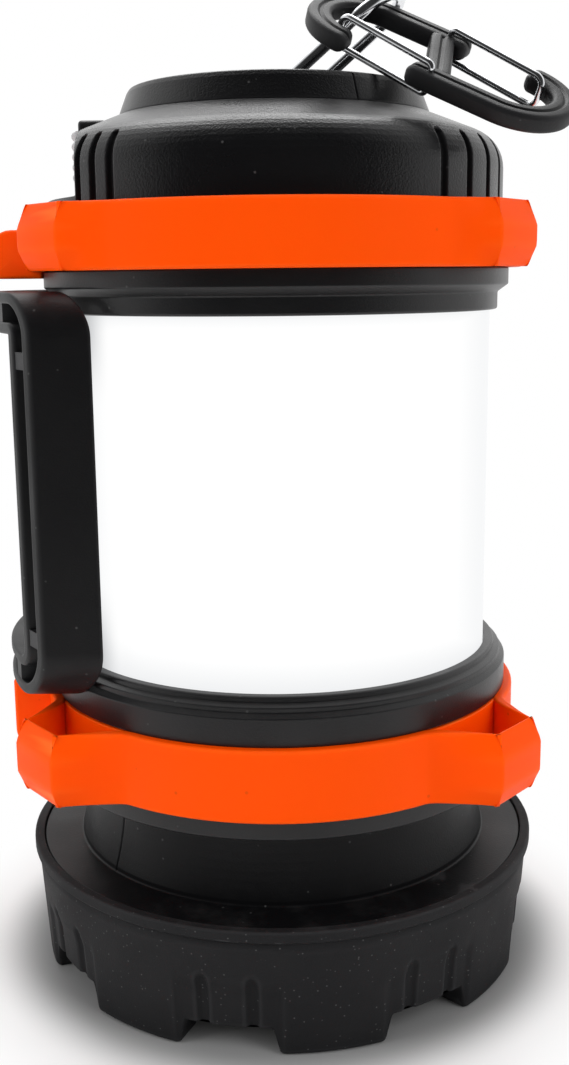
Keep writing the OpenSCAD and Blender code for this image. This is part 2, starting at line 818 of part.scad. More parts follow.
module cap_hollow() {
    intersection() {
        rotate_extrude()
            polygon(concat([[0, cap_z - 1], [cap_r - cap_wall, cap_z - 1]], shoulder_line(cap_wall),
                           [[crown_seat_r - 1, crown_z - cap_wall], [0, crown_z - cap_wall]]));
        translate([cap_wall - cap_flat_x, -cap_r, cap_z - 1]) cube([2 * cap_r, 2 * cap_r, cap_h]);
    }
}

module groove_at(angle) {
    top = shoulder_z + cap_shoulder_r * 0.55;
    rotate([0, 0, angle])
        translate([0, -cap_r + groove_d, cap_z - 1])
            rotate([90, 0, 0])
                linear_extrude(groove_d + 3)
                    union() {
                        translate([-groove_w / 2, 0]) square([groove_w, top - cap_z + 1]);
                        translate([0, top - cap_z + 1]) circle(r = groove_w / 2);
                    }
}

module top_cap() {
    color(black)
        difference() {
            union() {
                difference() {
                    intersection() {
                        cap_outline();
                        union() {
                            translate([-cap_flat_x, -cap_r - 1, cap_z - 1])
                                cube([2 * cap_r + 2, 2 * cap_r + 2, cap_h + 2]);
                            translate([-cap_r - 1, -cap_r - 1, cap_z - 1])
                                cube([cap_r, 2 * cap_r + 2, cap_sill_h + 1]);
                        }
                    }
                    cap_hollow();
                }
                intersection() {
                    cap_outline();
                    union() {
                        translate([-cap_flat_x, -switch_w / 2 - 2, cap_z])
                            cube([switch_d + 3, switch_w + 4, cap_h]);
                        translate([-flap_w / 2 - 3, port_floor_y - 2, cap_z])
                            cube([flap_w + 6, cut, cap_h]);
                    }
                }
            }
            for (i = [0 : groove_right - 1])
                groove_at(groove_start + i * groove_pitch);
            for (i = [0 : groove_left - 1]) {
                groove_at(-groove_left_start - i * groove_left_pitch);
                groove_at(180 + groove_left_start + i * groove_left_pitch);
            }
            translate([-cap_flat_x - 1, -switch_w / 2 - 0.05, cap_z + switch_z])
                cube([switch_d - switch_out + 1, switch_w + 0.1, cap_h]);
            translate([-flap_w / 2 - flap_fit, port_floor_y, cap_z + port_z])
                cube([flap_w + 2 * flap_fit, cut, flap_foot_r + flap_h + 2 * flap_fit]);
            translate([-5.5, port_floor_y - 4, port_mid() - 2.5]) cube([11, 6, 5]);
            translate([-flap_w / 2 - flap_pin_out - 0.2, flap_axis_y(), flap_axis_z()])
                rotate([0, 90, 0])
                    cylinder(r = flap_pin_r + flap_pin_fit, h = flap_w + 2 * flap_pin_out + 0.4);
        }
}

function flap_axis_y() = cap_r - flap_sunk - flap_foot_r;
function flap_axis_z() = cap_z + port_z + flap_foot_r + flap_fit;

module port_flap() {
    color(rubber)
        union() {
            intersection() {
                union() {
                    translate([-flap_w / 2, cap_r - flap_sunk - flap_t, flap_axis_z()])
                        cube([flap_w, cut, flap_h]);
                    translate([-flap_w / 2, flap_axis_y(), flap_axis_z()])
                        rotate([0, 90, 0]) cylinder(r = flap_foot_r, h = flap_w);
                }
                rotate_extrude()
                    polygon(concat([[0, cap_z], [cap_r - flap_sunk, cap_z]], shoulder_line(flap_sunk),
                                   [[0, shoulder_end_z]]));
            }
            translate([-flap_w / 2 - flap_pin_out, flap_axis_y(), flap_axis_z()])
                rotate([0, 90, 0]) cylinder(r = flap_pin_r, h = flap_w + 2 * flap_pin_out);
        }
}

module crown() {
    color(black)
        difference() {
            rotate_extrude()
                polygon([[0, crown_z], [crown_foot_r, crown_z], [crown_top_r + 0.6, crown_top - 1],
                         [crown_top_r, crown_top], [crown_dish_r, crown_top],
                         [crown_dish_r - 0.6, dish_z], [0, dish_z]]);
            in_saddle()
                for (s = [-1, 1])
                    translate([0, s * (saddle_foot_l / 2 - saddle_screw_in), -bail_pivot_h - 4])
                        cylinder(r = 1, h = 6);
        }
}

module in_saddle() {
    translate([bail_x, 0, bail_z]) rotate([0, 0, -bail_turn]) children();
}

module bail_saddle() {
    color(chrome)
        in_saddle()
            difference() {
                union() {
                    translate([-saddle_w / 2, -saddle_foot_l / 2, -bail_pivot_h])
                        cube([saddle_w, saddle_foot_l, saddle_foot_t]);
                    translate([-saddle_w / 2, -saddle_l / 2, -bail_pivot_h])
                        cube([saddle_w, saddle_l, bail_pivot_h]);
                    translate([0, saddle_l / 2, 0])
                        rotate([90, 0, 0]) cylinder(r = saddle_w / 2, h = saddle_l);
                }
                translate([0, saddle_l, 0])
                    rotate([90, 0, 0]) cylinder(r = bail_wire_r + bail_fit, h = 2 * saddle_l);
                translate([-saddle_w, -saddle_l, -bail_pivot_h - 4])
                    cube([2 * saddle_w, 2 * saddle_l, 4]);
                for (s = [-1, 1])
                    translate([0, s * (saddle_foot_l / 2 - saddle_screw_in), -bail_pivot_h - 1])
                        cylinder(r = 1.1, h = 4);
            }
}

module saddle_screws() {
    color(chrome)
        in_saddle()
            for (s = [-1, 1])
                translate([0, s * (saddle_foot_l / 2 - saddle_screw_in), -bail_pivot_h])
                    union() {
                        translate([0, 0, saddle_foot_t]) cylinder(r = saddle_head_r, h = 1.2);
                        translate([0, 0, -2.5]) cylinder(r = 0.95, h = saddle_foot_t + 3);
                    }
}

module bail() {
    leg = bail_reach - bail_half_w;
    trunnion = bail_half_w - saddle_l / 2 + 3.5;
    color(chrome)
        translate([bail_x, 0, bail_z])
            rotate([0, bail_lean, -bail_turn])
                union() {
                    for (s = [-1, 1]) {
                        translate([0, s * bail_half_w, 0]) cylinder(r = bail_wire_r, h = leg);
                        translate([0, s * bail_half_w, 0]) sphere(r = bail_wire_r);
                        translate([0, s > 0 ? bail_half_w : trunnion - bail_half_w, 0])
                            rotate([90, 0, 0]) cylinder(r = bail_wire_r, h = trunnion);
                    }
                    translate([0, 0, leg])
                        rotate([90, 0, 90])
                            rotate_extrude(angle = 180)
                                translate([bail_half_w, 0]) circle(r = bail_wire_r);
                }
}

module in_clip() {
    translate([clip_x, -clip_y, crown_top + clip_z])
        rotate([clip_roll, clip_dip, clip_heading])
            children();
}

module clip_outline(r) {
    union() {
        translate([-clip_half_l, -r]) square([2 * clip_half_l, 2 * r]);
        for (s = [-1, 1])
            translate([s * clip_half_l, 0]) circle(r = r);
    }
}

module clip_body() {
    in_r = clip_r - clip_arm_w;
    bar_turn = atan2(clip_r - 1, clip_bar_x);
    color(black)
        in_clip()
            difference() {
                translate([0, 0, -clip_t / 2])
                    linear_extrude(clip_t)
                        difference() {
                            union() {
                                difference() {
                                    clip_outline(clip_r);
                                    clip_outline(in_r);
                                }
                                intersection() {
                                    clip_outline(clip_r);
                                    rotate(-bar_turn)
                                        translate([-clip_r * 1.3, -clip_arm_w / 2])
                                            square([clip_r * 2.6, clip_arm_w]);
                                }
                            }
                            translate([-clip_gap_x - clip_gap_half, -clip_r - 1])
                                square([2 * clip_gap_half, clip_r]);
                            translate([clip_gap_x - clip_gap_half, 1])
                                square([2 * clip_gap_half, clip_r]);
                        }
                for (s = [-1, 1])
                    translate([s * gate_pivot_x, -s * gate_pivot_y, -clip_t])
                        cylinder(r = gate_wire_r + 0.05, h = 2 * clip_t);
            }
}

module gate(s) {
    rise = clip_t / 2 + gate_room + gate_wire_r;
    dx = gate_end_x + gate_pivot_x;
    dy = gate_pivot_y - gate_end_y;
    span = sqrt(dx * dx + dy * dy);
    turn = atan2(dy, -dx);
    in_clip()
        rotate([0, 0, s > 0 ? 0 : 180])
            translate([gate_pivot_x, -gate_pivot_y, 0])
                rotate([0, 0, turn])
                    union() {
                        for (w = [-1, 1])
                            translate([0, 0, w * rise]) {
                                rotate([0, 90, 0]) cylinder(r = gate_wire_r, h = span);
                                sphere(r = gate_wire_r);
                                translate([span, 0, 0]) sphere(r = gate_wire_r);
                            }
                        translate([span, 0, -rise]) cylinder(r = gate_wire_r, h = 2 * rise);
                        translate([0, 0, -rise]) cylinder(r = gate_wire_r, h = 2 * rise);
                    }
}

module clip_gate_near() {
    color(chrome) gate(1);
}

module clip_gate_far() {
    color(chrome) gate(-1);
}

module switch_housing() {
    color(black)
        translate([-cap_flat_x - switch_out, -switch_w / 2, cap_z + switch_z])
            difference() {
                cube([switch_d, switch_w, switch_h]);
                translate([-1, switch_wall, switch_wall])
                    cube([1 + switch_wall, switch_w - 2 * switch_wall, switch_h - 2 * switch_wall]);
                translate([switch_wall - eps, switch_wall - 0.8, switch_wall - 0.8])
                    cube([switch_d - 2 * switch_wall + 0.6, switch_w - 2 * switch_wall + 1.6,
                          switch_h - 2 * switch_wall + 1.6]);
            }
}

module switch_pad() {
    pad_w = switch_w - 2 * switch_wall - 2 * pad_fit;
    pad_h = switch_h - 2 * switch_wall - 2 * pad_fit;
    rib = pad_h / (2 * pad_ribs + 1);
    front = -cap_flat_x - switch_out - pad_out;
    color(grey)
        translate([0, -pad_w / 2, cap_z + switch_z + switch_wall + pad_fit])
            union() {
                translate([front + 0.6, 0, 0])
                    cube([pad_out - 0.6 + switch_wall + 0.5, pad_w, pad_h]);
                for (i = [0 : pad_ribs - 1])
                    translate([front, 0.8, rib * (2 * i + 1)])
                        cube([0.6 + eps, pad_w - 1.6, rib]);
                translate([front + pad_out + switch_wall, -0.8, -0.8])
                    cube([0.9, pad_w + 1.6, pad_h + 1.6]);
            }
}

module strap_band(inset) {
    difference() {
        translate([0, inset])
            rounded_rect(handle_half_w - inset, handle_h - 2 * inset, handle_corner_r - inset);
        translate([0, inset + strap_t])
            rounded_rect(handle_half_w - inset - strap_t, handle_h - 2 * (inset + strap_t),
                         handle_corner_r - inset - strap_t);
    }
}

module strap_posts() {
    intersection() {
        difference() {
            translate([0, strap_t / 2])
                rounded_rect(handle_half_w - strap_t / 2, handle_h - strap_t,
                             handle_corner_r - strap_t / 2);
            translate([0, inner_strap + strap_t / 2])
                rounded_rect(handle_half_w - inner_strap - strap_t / 2,
                             handle_h - 2 * inner_strap - strap_t,
                             handle_corner_r - inner_strap - strap_t / 2);
        }
        union() {
            for (s = [-1, 1]) {
                translate([s * post_y - post_w / 2, 0]) square([post_w, handle_h]);
                for (t = [0.16, 0.84])
                    translate([s * handle_half_w - cut / 2, handle_h * t - post_w / 2])
                        square([cut, post_w]);
            }
        }
    }
}

module handle_band() {
    intersection() {
        translate([-handle_skin, 0, handle_z])
            rotate([90, 0, 90])
                linear_extrude(handle_skin)
                    union() {
                        strap_band(0);
                        strap_band(inner_strap);
                        strap_posts();
                    }
        ring_of(handle_in_r, handle_out_r, handle_z - 1, handle_h + 2);
    }
}

module side_handle() {
    knuckle_low = ring2_top + knuckle_gap;
    knuckle_high = ring1_z - knuckle_gap;
    knuckle_l = handle_corner_r + handle_ring_gap + 1;
    color(black)
        difference() {
            union() {
                handle_band();
                translate([-hinge_x, hinge_y, knuckle_low]) cylinder(r = knuckle_r, h = knuckle_l);
                translate([-hinge_x, hinge_y, knuckle_high - knuckle_l])
                    cylinder(r = knuckle_r, h = knuckle_l);
            }
            translate([-hinge_x, hinge_y, knuckle_low - 1])
                cylinder(r = hinge_pin_r + hinge_fit, h = knuckle_l - 2);
            translate([-hinge_x, hinge_y, knuckle_high - knuckle_l + 3])
                cylinder(r = hinge_pin_r + hinge_fit, h = knuckle_l);
        }
}

module hinge_pin_upper() {
    color(chrome)
        translate([-hinge_x, hinge_y, ring1_z - hinge_pin_out])
            cylinder(r = hinge_pin_r, h = hinge_pin_l);
}

module hinge_pin_lower() {
    color(chrome)
        translate([-hinge_x, hinge_y, ring2_top + hinge_pin_out - hinge_pin_l])
            cylinder(r = hinge_pin_r, h = hinge_pin_l);
}

rubber_bezel();
torch_shell();
torch_reflector();
torch_lens();
lens_seal();
lens_ring();
torch_board();
torch_lamp();
lower_body();
lower_ring();
neck_screws();
cell_tray();
battery_cells();
floor_mirror();
lower_drum_seal();
diffuser();
light_column();
light_board();
drum_lamps();
upper_drum_seal();
upper_collar();
upper_ring();
main_board();
charge_socket();
top_cap();
crown();
bail_saddle();
saddle_screws();
bail();
clip_body();
clip_gate_near();
clip_gate_far();
switch_housing();
switch_pad();
port_flap();
side_handle();
hinge_pin_upper();
hinge_pin_lower();
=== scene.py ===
import json
import math

import bmesh
import bpy
import numpy as np
from mathutils import Matrix, Vector


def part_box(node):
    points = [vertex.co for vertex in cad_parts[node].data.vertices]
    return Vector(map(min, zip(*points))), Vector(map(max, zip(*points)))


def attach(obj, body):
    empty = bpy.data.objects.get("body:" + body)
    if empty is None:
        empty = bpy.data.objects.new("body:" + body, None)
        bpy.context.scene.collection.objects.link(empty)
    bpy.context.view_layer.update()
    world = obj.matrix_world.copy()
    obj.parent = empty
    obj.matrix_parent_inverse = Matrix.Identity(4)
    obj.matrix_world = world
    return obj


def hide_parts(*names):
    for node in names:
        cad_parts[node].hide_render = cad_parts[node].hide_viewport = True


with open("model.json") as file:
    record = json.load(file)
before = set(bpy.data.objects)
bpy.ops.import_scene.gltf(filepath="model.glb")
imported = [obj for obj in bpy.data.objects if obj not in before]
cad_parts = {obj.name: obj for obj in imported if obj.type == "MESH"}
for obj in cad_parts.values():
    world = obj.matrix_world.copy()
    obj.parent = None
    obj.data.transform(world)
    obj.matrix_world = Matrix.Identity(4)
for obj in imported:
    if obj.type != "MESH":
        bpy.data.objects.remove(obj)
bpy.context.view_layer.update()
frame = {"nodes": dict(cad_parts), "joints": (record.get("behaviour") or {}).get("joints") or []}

mm = 0.001  # shapes are worked out in millimetres, and makePiece turns them into metres
tau = 2 * math.pi


def corners(node):
    # lowest and highest corner of a CAD node
    low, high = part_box(node)
    return np.array(low) / mm, np.array(high) / mm


def roundCorners(points, radius, steps=5, closed=True):
    # each corner becomes an arc that leaves its sides at radius / tan(half the corner's angle);
    # an open line keeps its two ends
    points = np.asarray(points, float)
    radius = np.broadcast_to(np.asarray(radius, float), len(points)).copy()
    if not closed:
        radius[[0, -1]] = 0
    back = np.roll(points, 1, 0) - points
    ahead = np.roll(points, -1, 0) - points
    backLength = np.linalg.norm(back, axis=1)
    aheadLength = np.linalg.norm(ahead, axis=1)
    back /= backLength[:, None]
    ahead /= aheadLength[:, None]
    half = 0.5 * np.arccos(np.clip((back * ahead).sum(1), -0.9999, 0.9999))
    reach = np.minimum(radius / np.tan(half), 0.48 * np.minimum(backLength, aheadLength))
    radius = reach * np.tan(half)
    middle = back + ahead
    middle /= np.maximum(np.linalg.norm(middle, axis=1), 1e-9)[:, None]
    centre = points + middle * (radius / np.sin(half))[:, None]
    start = points + back * reach[:, None] - centre
    turn = np.sign(ahead[:, 0] * back[:, 1] - ahead[:, 1] * back[:, 0])
    angle = (math.pi - 2 * half)[:, None] * np.linspace(0, 1, steps + 1)[None, :] * turn[:, None]
    x = centre[:, :1] + start[:, :1] * np.cos(angle) - start[:, 1:] * np.sin(angle)
    y = centre[:, 1:] + start[:, :1] * np.sin(angle) + start[:, 1:] * np.cos(angle)
    line = np.stack([x, y], -1)
    keep = np.ones(line.shape[:2], bool)
    keep[radius < 1e-6, 1:] = False
    return line[keep]


def withSupports(line, gap=0.2, step=None, closed=True):
    # a point at gap from both ends of each long side keeps its shading flat, and others between
    # them cut it into lengths of about step
    line = np.asarray(line, float)
    along = np.roll(line, -1, 0) - line
    if not closed:
        along[-1] = 0
    length = np.linalg.norm(along, axis=1)
    extra = np.maximum(np.ceil(length / step).astype(int) + 1, 2) if step else np.full(len(line), 2)
    extra = np.where(length > 4 * gap, extra, 0)
    side = np.repeat(np.arange(len(line)), extra + 1)
    nth = np.arange(len(side)) - np.repeat(np.cumsum(extra + 1) - extra - 1, extra + 1)
    share = (gap / np.maximum(length, 1e-9))[side]
    between = share + (1 - 2 * share) * (nth - 1) / np.maximum(extra[side] - 1, 1)
    return line[side] + along[side] * np.where(nth > 0, between, 0.0)[:, None]


def profile(points, radius, steps=5, gap=0.15, step=None):
    # a closed outline: its corners rounded, then its support points added
    return withSupports(roundCorners(points, radius, steps), gap, step)


def outward(line):
    # unit normals of a closed line that runs counter-clockwise: the way along it, turned right
    along = np.roll(line, -1, 0) - np.roll(line, 1, 0)
    normal = np.stack([along[:, 1], -along[:, 0]], 1)
    return normal / np.maximum(np.linalg.norm(normal, axis=1), 1e-9)[:, None]


def gridPart(points, wrapU=True, wrapV=True):
    # points[u, v] joined by quads; an open u is closed by a fan at each end; the faces are turned
    # round where the volume they enclose comes out negative
    rows, cols = points.shape[:2]
    u = np.arange(rows if wrapU else rows - 1)
    v = np.arange(cols if wrapV else cols - 1)
    a, b = np.meshgrid(u, v, indexing="ij")
    nextA = (a + 1) % rows
    nextB = (b + 1) % cols
    quads = np.stack([a * cols + b, nextA * cols + b, nextA * cols + nextB, a * cols + nextB], -1)
    quads = quads.reshape(-1, 4)
    flat = points.reshape(-1, 3)
    fans = np.zeros((0, 3), int)
    if not wrapU:
        first = np.arange(cols)
        then = (first + 1) % cols
        last = (rows - 1) * cols
        start = np.stack([first, then, np.full(cols, rows * cols)], -1)
        end = np.stack([last + then, last + first, np.full(cols, rows * cols + 1)], -1)
        fans = np.concatenate([start, end])
        flat = np.concatenate([flat, np.stack([points[0].mean(0), points[-1].mean(0)])])
    volume = sum(np.einsum("ij,ij->", flat[p], np.cross(flat[q], flat[r]))
                 for p, q, r in (quads.T[[0, 1, 2]], quads.T[[0, 2, 3]], fans.T))
    if volume < 0:
        quads = quads[:, ::-1]
        fans = fans[:, ::-1]
    return flat, quads, fans


def evenTurn(count):
    # angles once round, evenly spaced, without the last one
    return np.linspace(0, tau, count + 1)[:-1]


def lathe(line, angles=None, shape=None):
    # a closed line (radius, height) turned round the axis: x = r sin a, y = -r cos a;
    # shape(angle, r, z) may push points in or out
    angles = evenTurn(160) if angles is None else angles
    a = angles[:, None]
    r = np.repeat(line[None, :, 0], len(angles), 0)
    z = np.repeat(line[None, :, 1], len(angles), 0)
    if shape:
        r, z = shape(a, r, z)
    return gridPart(np.stack([r * np.sin(a), -r * np.cos(a), z], -1))


def finerAngles(places, reach, count, base=160):
    # angles round the axis, with extra ones within reach of each place; places in degrees
    extra = (np.asarray(places)[:, None] + np.linspace(-reach, reach, count)[None, :]).ravel()
    every = np.concatenate([np.linspace(0, 360, base + 1)[:-1], extra]) % 360
    every = np.unique(np.round(every, 3))
    every = every[np.concatenate([[True], np.diff(every) > 0.02])]
    return np.radians(every)


def rimGrid(loop, section):
    # a section (outwards, depth) carried round a flat closed loop: loop + normal * outwards
    normal = outward(loop)
    first = loop[:, :1] + normal[:, :1] * section[None, :, 0]
    second = loop[:, 1:] + normal[:, 1:] * section[None, :, 0]
    return first, second, np.repeat(section[None, :, 1], len(loop), 0)


def extruded(section, low, high, edge, place):
    # a closed section (a, b) pulled from low to high: near each end it is inset by
    # edge * (1 - sin t) at edge * (1 - cos t) from that end; place(a, b, c) gives the point
    section = np.asarray(section, float)
    normal = outward(section)
    t = np.linspace(0, math.pi / 2, 5)
    inset = np.concatenate([edge * (1 - np.sin(t)), edge * (1 - np.sin(t[::-1]))])
    along = np.concatenate([low + edge * (1 - np.cos(t)), high - edge * (1 - np.cos(t[::-1]))])
    a = section[None, :, 0] - normal[None, :, 0] * inset[:, None]
    b = section[None, :, 1] - normal[None, :, 1] * inset[:, None]
    c = np.repeat(along[:, None], len(section), 1)
    return gridPart(place(a, b, c), wrapU=False)


def tube(path, radius, count=16, wrap=False):
    # a round wire: each ring is path + radius * (side cos t + up sin t); each point's frame is the
    # last one turned as little as it can, so the frames are found one after another
    if wrap:
        along = np.roll(path, -1, 0) - np.roll(path, 1, 0)
    else:
        along = np.gradient(path, axis=0)
    along /= np.linalg.norm(along, axis=1)[:, None]
    side = np.zeros_like(path)
    guide = np.array([0.31, 0.52, 0.79])  # any way that the wire doesn't run in
    for i, way in enumerate(along):
        guide = guide - way * (guide @ way)
        guide /= np.linalg.norm(guide)
        side[i] = guide
    up = np.cross(along, side)
    turn = evenTurn(count)
    section = np.stack([np.cos(turn), np.sin(turn)], 1) * radius
    grow, push, pick = np.ones(len(path)), np.zeros(len(path)), np.arange(len(path))
    if not wrap:  # an open wire gets a round end: rings that shrink as a ball does
        t = np.linspace(0, math.pi / 2, 5)[:-1]
        grow = np.concatenate([np.sin(t), grow, np.sin(t[::-1])])
        push = np.concatenate([-np.cos(t), push, np.cos(t[::-1])]) * radius
        pick = np.concatenate([np.zeros(4, int), pick, np.full(4, len(path) - 1)])
    centre = path[pick] + along[pick] * push[:, None]
    around = section[None] * np.maximum(grow, 0.02)[:, None, None]
    grid = (centre[:, None] + around[:, :, :1] * side[pick][:, None]
            + around[:, :, 1:] * up[pick][:, None])
    return gridPart(grid, wrapU=wrap)


def turned(rx, ry, rz):
    # rotation matrix for degrees about X, then Y, then Z
    rx, ry, rz = np.radians([rx, ry, rz])
    x = np.array([[1, 0, 0], [0, math.cos(rx), -math.sin(rx)], [0, math.sin(rx), math.cos(rx)]])
    y = np.array([[math.cos(ry), 0, math.sin(ry)], [0, 1, 0], [-math.sin(ry), 0, math.cos(ry)]])
    z = np.array([[math.cos(rz), -math.sin(rz), 0], [math.sin(rz), math.cos(rz), 0], [0, 0, 1]])
    return z @ y @ x


def step01(x, low, high):
    # 0 below low, 1 above high, and t * t * (3 - 2 t) between them
    t = np.clip((x - low) / (high - low), 0, 1)
    return t * t * (3 - 2 * t)


def within(distance, limit, ease):
    # 1 inside the limit, 0 outside, and smooth over ease[0] before it and ease[1] after it
    return 1 - step01(distance, limit - ease[0], limit + ease[1])


def softMin(a, b, k):
    # the smaller of two, with the corner between them rounded over k
    h = np.clip(0.5 + 0.5 * (b - a) / k, 0, 1)
    return b + (a - b) * h - k * h * (1 - h)


def lineGroove(a, r, degrees, depth, width, period=360):
    # how deep a thin line cut down a turned surface is: depth * exp(-(arc from the line / width)^2)
    off = (np.degrees(a) - degrees + period / 2) % period - period / 2
    return depth * np.exp(-(off * math.pi / 180 * r / width) ** 2)


def spaced(points):
    # true where a point of an open line is clear of the one before it
    return np.concatenate([[True], np.linalg.norm(np.diff(points, axis=0), axis=1) > 1e-3])


def weld(mesh, distance, flatten=None):
    # merges the points closer than distance; flatten also joins faces within that many degrees
    work = bmesh.new()
    work.from_mesh(mesh)
    bmesh.ops.remove_doubles(work, verts=work.verts, dist=distance)
    if flatten:
        bmesh.ops.dissolve_limit(work, angle_limit=math.radians(flatten), verts=work.verts,
                                 edges=work.edges)
    work.to_mesh(mesh)
    work.free()


def smooth(mesh, sharp):
    # smooth shading, broken at edges that turn by more than sharp degrees
    mesh.polygons.foreach_set("use_smooth", np.ones(len(mesh.polygons), bool))
    mesh.set_sharp_from_angle(angle=math.radians(sharp))


def placePiece(name, mesh, body, material, stands):
    # puts a finished mesh in the scene: it rides on a body and stands for the CAD nodes given
    piece = bpy.data.objects.new(name, mesh)
    bpy.context.scene.collection.objects.link(piece)
    mesh.materials.clear()
    mesh.materials.append(material)
    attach(piece, body)
    if stands:
        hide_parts(*stands)
    return piece


def makePiece(name, parts, body, material, stands, sharp=38):
    # one mesh of all the parts: their points one after another, each part's faces counted on
    points = np.concatenate([p[0] for p in parts]) * mm
    starts = np.cumsum([0] + [len(p[0]) for p in parts])[:-1]
    quads = np.concatenate([p[1] + s for p, s in zip(parts, starts)])
    fans = np.concatenate([p[2] + s for p, s in zip(parts, starts)])
    quadCount, fanCount = len(quads), len(fans)
    mesh = bpy.data.meshes.new(name)
    mesh.vertices.add(len(points))
    mesh.vertices.foreach_set("co", points.ravel())
    mesh.loops.add(4 * quadCount + 3 * fanCount)
    mesh.loops.foreach_set("vertex_index", np.concatenate([quads.ravel(), fans.ravel()]))
    mesh.polygons.add(quadCount + fanCount)
    mesh.polygons.foreach_set("loop_start", np.concatenate([
        4 * np.arange(quadCount), 4 * quadCount + 3 * np.arange(fanCount)]))
    mesh.update(calc_edges=True)
    mesh.validate()
    weld(mesh, 2e-6)
    smooth(mesh, sharp)
    return placePiece(name, mesh, body, material, stands)


def softCopy(name, node, body, material, width, segments=3):
    # a merged copy of a CAD node with its edges rounded by width
    mesh = frame["nodes"][node].data.copy()
    weld(mesh, 3e-6, flatten=0.6)
    smooth(mesh, 35)
    piece = placePiece(name, mesh, body, material, [node])
    bevel = piece.modifiers.new("softEdges", "BEVEL")
    bevel.width = width * mm
    bevel.segments = segments
    bevel.limit_method = "ANGLE"
    bevel.angle_limit = math.radians(35)
    bevel.use_clamp_overlap = False
    bevel.harden_normals = True
    return piece


def connect(tree, socket, value):
    # links a socket to another one, or sets it to a plain value
    if isinstance(value, bpy.types.NodeSocket):
        tree.links.new(value, socket)
    else:
        socket.default_value = value


def addNode(tree, kind, inputs=None, **settings):
    # one shader node with its settings, then its inputs by name or number
    node = tree.nodes.new("ShaderNode" + kind)
    for key, value in settings.items():
        setattr(node, key, value)
    for key, value in (inputs or {}).items():
        connect(tree, node.inputs[key], value)
    return node


def newGroup(name, inputs, outputs):
    # an empty node group with named inputs (name, default) and float outputs
    group = bpy.data.node_groups.new(name, "ShaderNodeTree")
    group.interface.new_socket("Vector", in_out="INPUT", socket_type="NodeSocketVector")
    for label, value in inputs:
        socket = group.interface.new_socket(label, in_out="INPUT", socket_type="NodeSocketFloat")
        socket.default_value = value
    for label in outputs:
        group.interface.new_socket(label, in_out="OUTPUT", socket_type="NodeSocketFloat")
    given = group.nodes.new("NodeGroupInput").outputs
    return group, given, group.nodes.new("NodeGroupOutput")


def useGroup(tree, group, inputs):
    # places a group in a material with that material's own values
    node = addNode(tree, "Group", node_tree=group)
    for key, value in inputs.items():
        connect(tree, node.inputs[key], value)
    return node.outputs


def maths(tree, operation, *values):
    # one sum on numbers or sockets
    return addNode(tree, "Math", dict(enumerate(values)), operation=operation).outputs[0]


def mapRange(tree, value, fromLow, fromHigh, toLow=0.0, toHigh=1.0, soft=False):
    # moves a value from one range to another, in a straight line or an S curve, and holds it there
    node = addNode(tree, "MapRange", {"Value": value, "From Min": fromLow, "From Max": fromHigh,
                                      "To Min": toLow, "To Max": toHigh},
                   interpolation_type="SMOOTHSTEP" if soft else "LINEAR")
    return node.outputs[0]


def noise(tree, place, scale, detail, roughness=0.5):
    # soft blots from 0 to 1, about scale of them to the metre
    return addNode(tree, "TexNoise", {"Vector": place, "Scale": scale, "Detail": detail,
                                      "Roughness": roughness}).outputs["Fac"]


def mixColor(tree, factor, first, second, blend="MIX"):
    # first colour where the factor is 0, second where it is 1
    node = addNode(tree, "Mix", data_type="RGBA", blend_type=blend)
    for key, value in ((0, factor), (6, first), (7, second)):
        connect(tree, node.inputs[key], (*value, 1) if isinstance(value, tuple) else value)
    return node.outputs[2]


def addBump(tree, shader, height, strength, distance):
    # tilts the shading normal along the slope of a height
    bump = addNode(tree, "Bump", {"Height": height, "Strength": strength, "Distance": distance})
    tree.links.new(bump.outputs[0], shader.inputs["Normal"])


def newMaterial(name, **sockets):
    # a material with its shader's plain values set; patterns read the piece's own coordinates
    material = bpy.data.materials.new(name)
    material.use_nodes = True
    tree = material.node_tree
    shader = tree.nodes["Principled BSDF"]
    for key, value in sockets.items():
        shader.inputs[key.replace("_", " ")].default_value = value
    return material, tree, shader, addNode(tree, "TexCoord").outputs["Object"]


def grainGroup():
    # fine moulded texture: a bump height, a broad shift of the roughness, and bright specks where a
    # cell's centre is near and its random number is below the amount
    group, given, end = newGroup("mouldedGrain", [("Grain Scale", 2500.0), ("Speck Scale", 900.0),
                                                  ("Speck Amount", 0.3)],
                                 ["Height", "Shift", "Specks"])
    fine = noise(group, given["Vector"], given["Grain Scale"], 2.0, 0.6)
    broad = noise(group, given["Vector"], 60.0, 4.0)
    dots = addNode(group, "TexVoronoi", {"Vector": given["Vector"], "Scale": given["Speck Scale"]})
    near = mapRange(group, dots.outputs["Distance"], 0.22, 0.1)
    pick = addNode(group, "SeparateColor", {"Color": dots.outputs["Color"]})
    chosen = maths(group, "LESS_THAN", pick.outputs["Red"], given["Speck Amount"])
    group.links.new(fine, end.inputs["Height"])
    group.links.new(broad, end.inputs["Shift"])
    group.links.new(maths(group, "MULTIPLY", near, chosen), end.inputs["Specks"])
    return group


def wearAndSheenGroup():
    # paler edges where the surface is most convex, partly rubbed wear and partly a painted
    # highlight, and dust in patches where it faces up
    group, given, end = newGroup("edgeWearSheenAndDust", [("Edge Reach", 0.06), ("Dust Scale", 120.0)],
                                 ["Edge", "Dust"])
    geometry = addNode(group, "NewGeometry")
    top = maths(group, "ADD", 0.5, given["Edge Reach"])
    edge = mapRange(group, geometry.outputs["Pointiness"], 0.505, top)
    patches = noise(group, given["Vector"], given["Dust Scale"], 6.0, 0.7)
    normal = addNode(group, "SeparateXYZ", {0: geometry.outputs["Normal"]})
    upward = mapRange(group, normal.outputs["Z"], 0.1, 1.0)
    dust = maths(group, "MULTIPLY", mapRange(group, patches, 0.48, 0.75), upward)
    group.links.new(edge, end.inputs["Edge"])
    group.links.new(dust, end.inputs["Dust"])
    return group


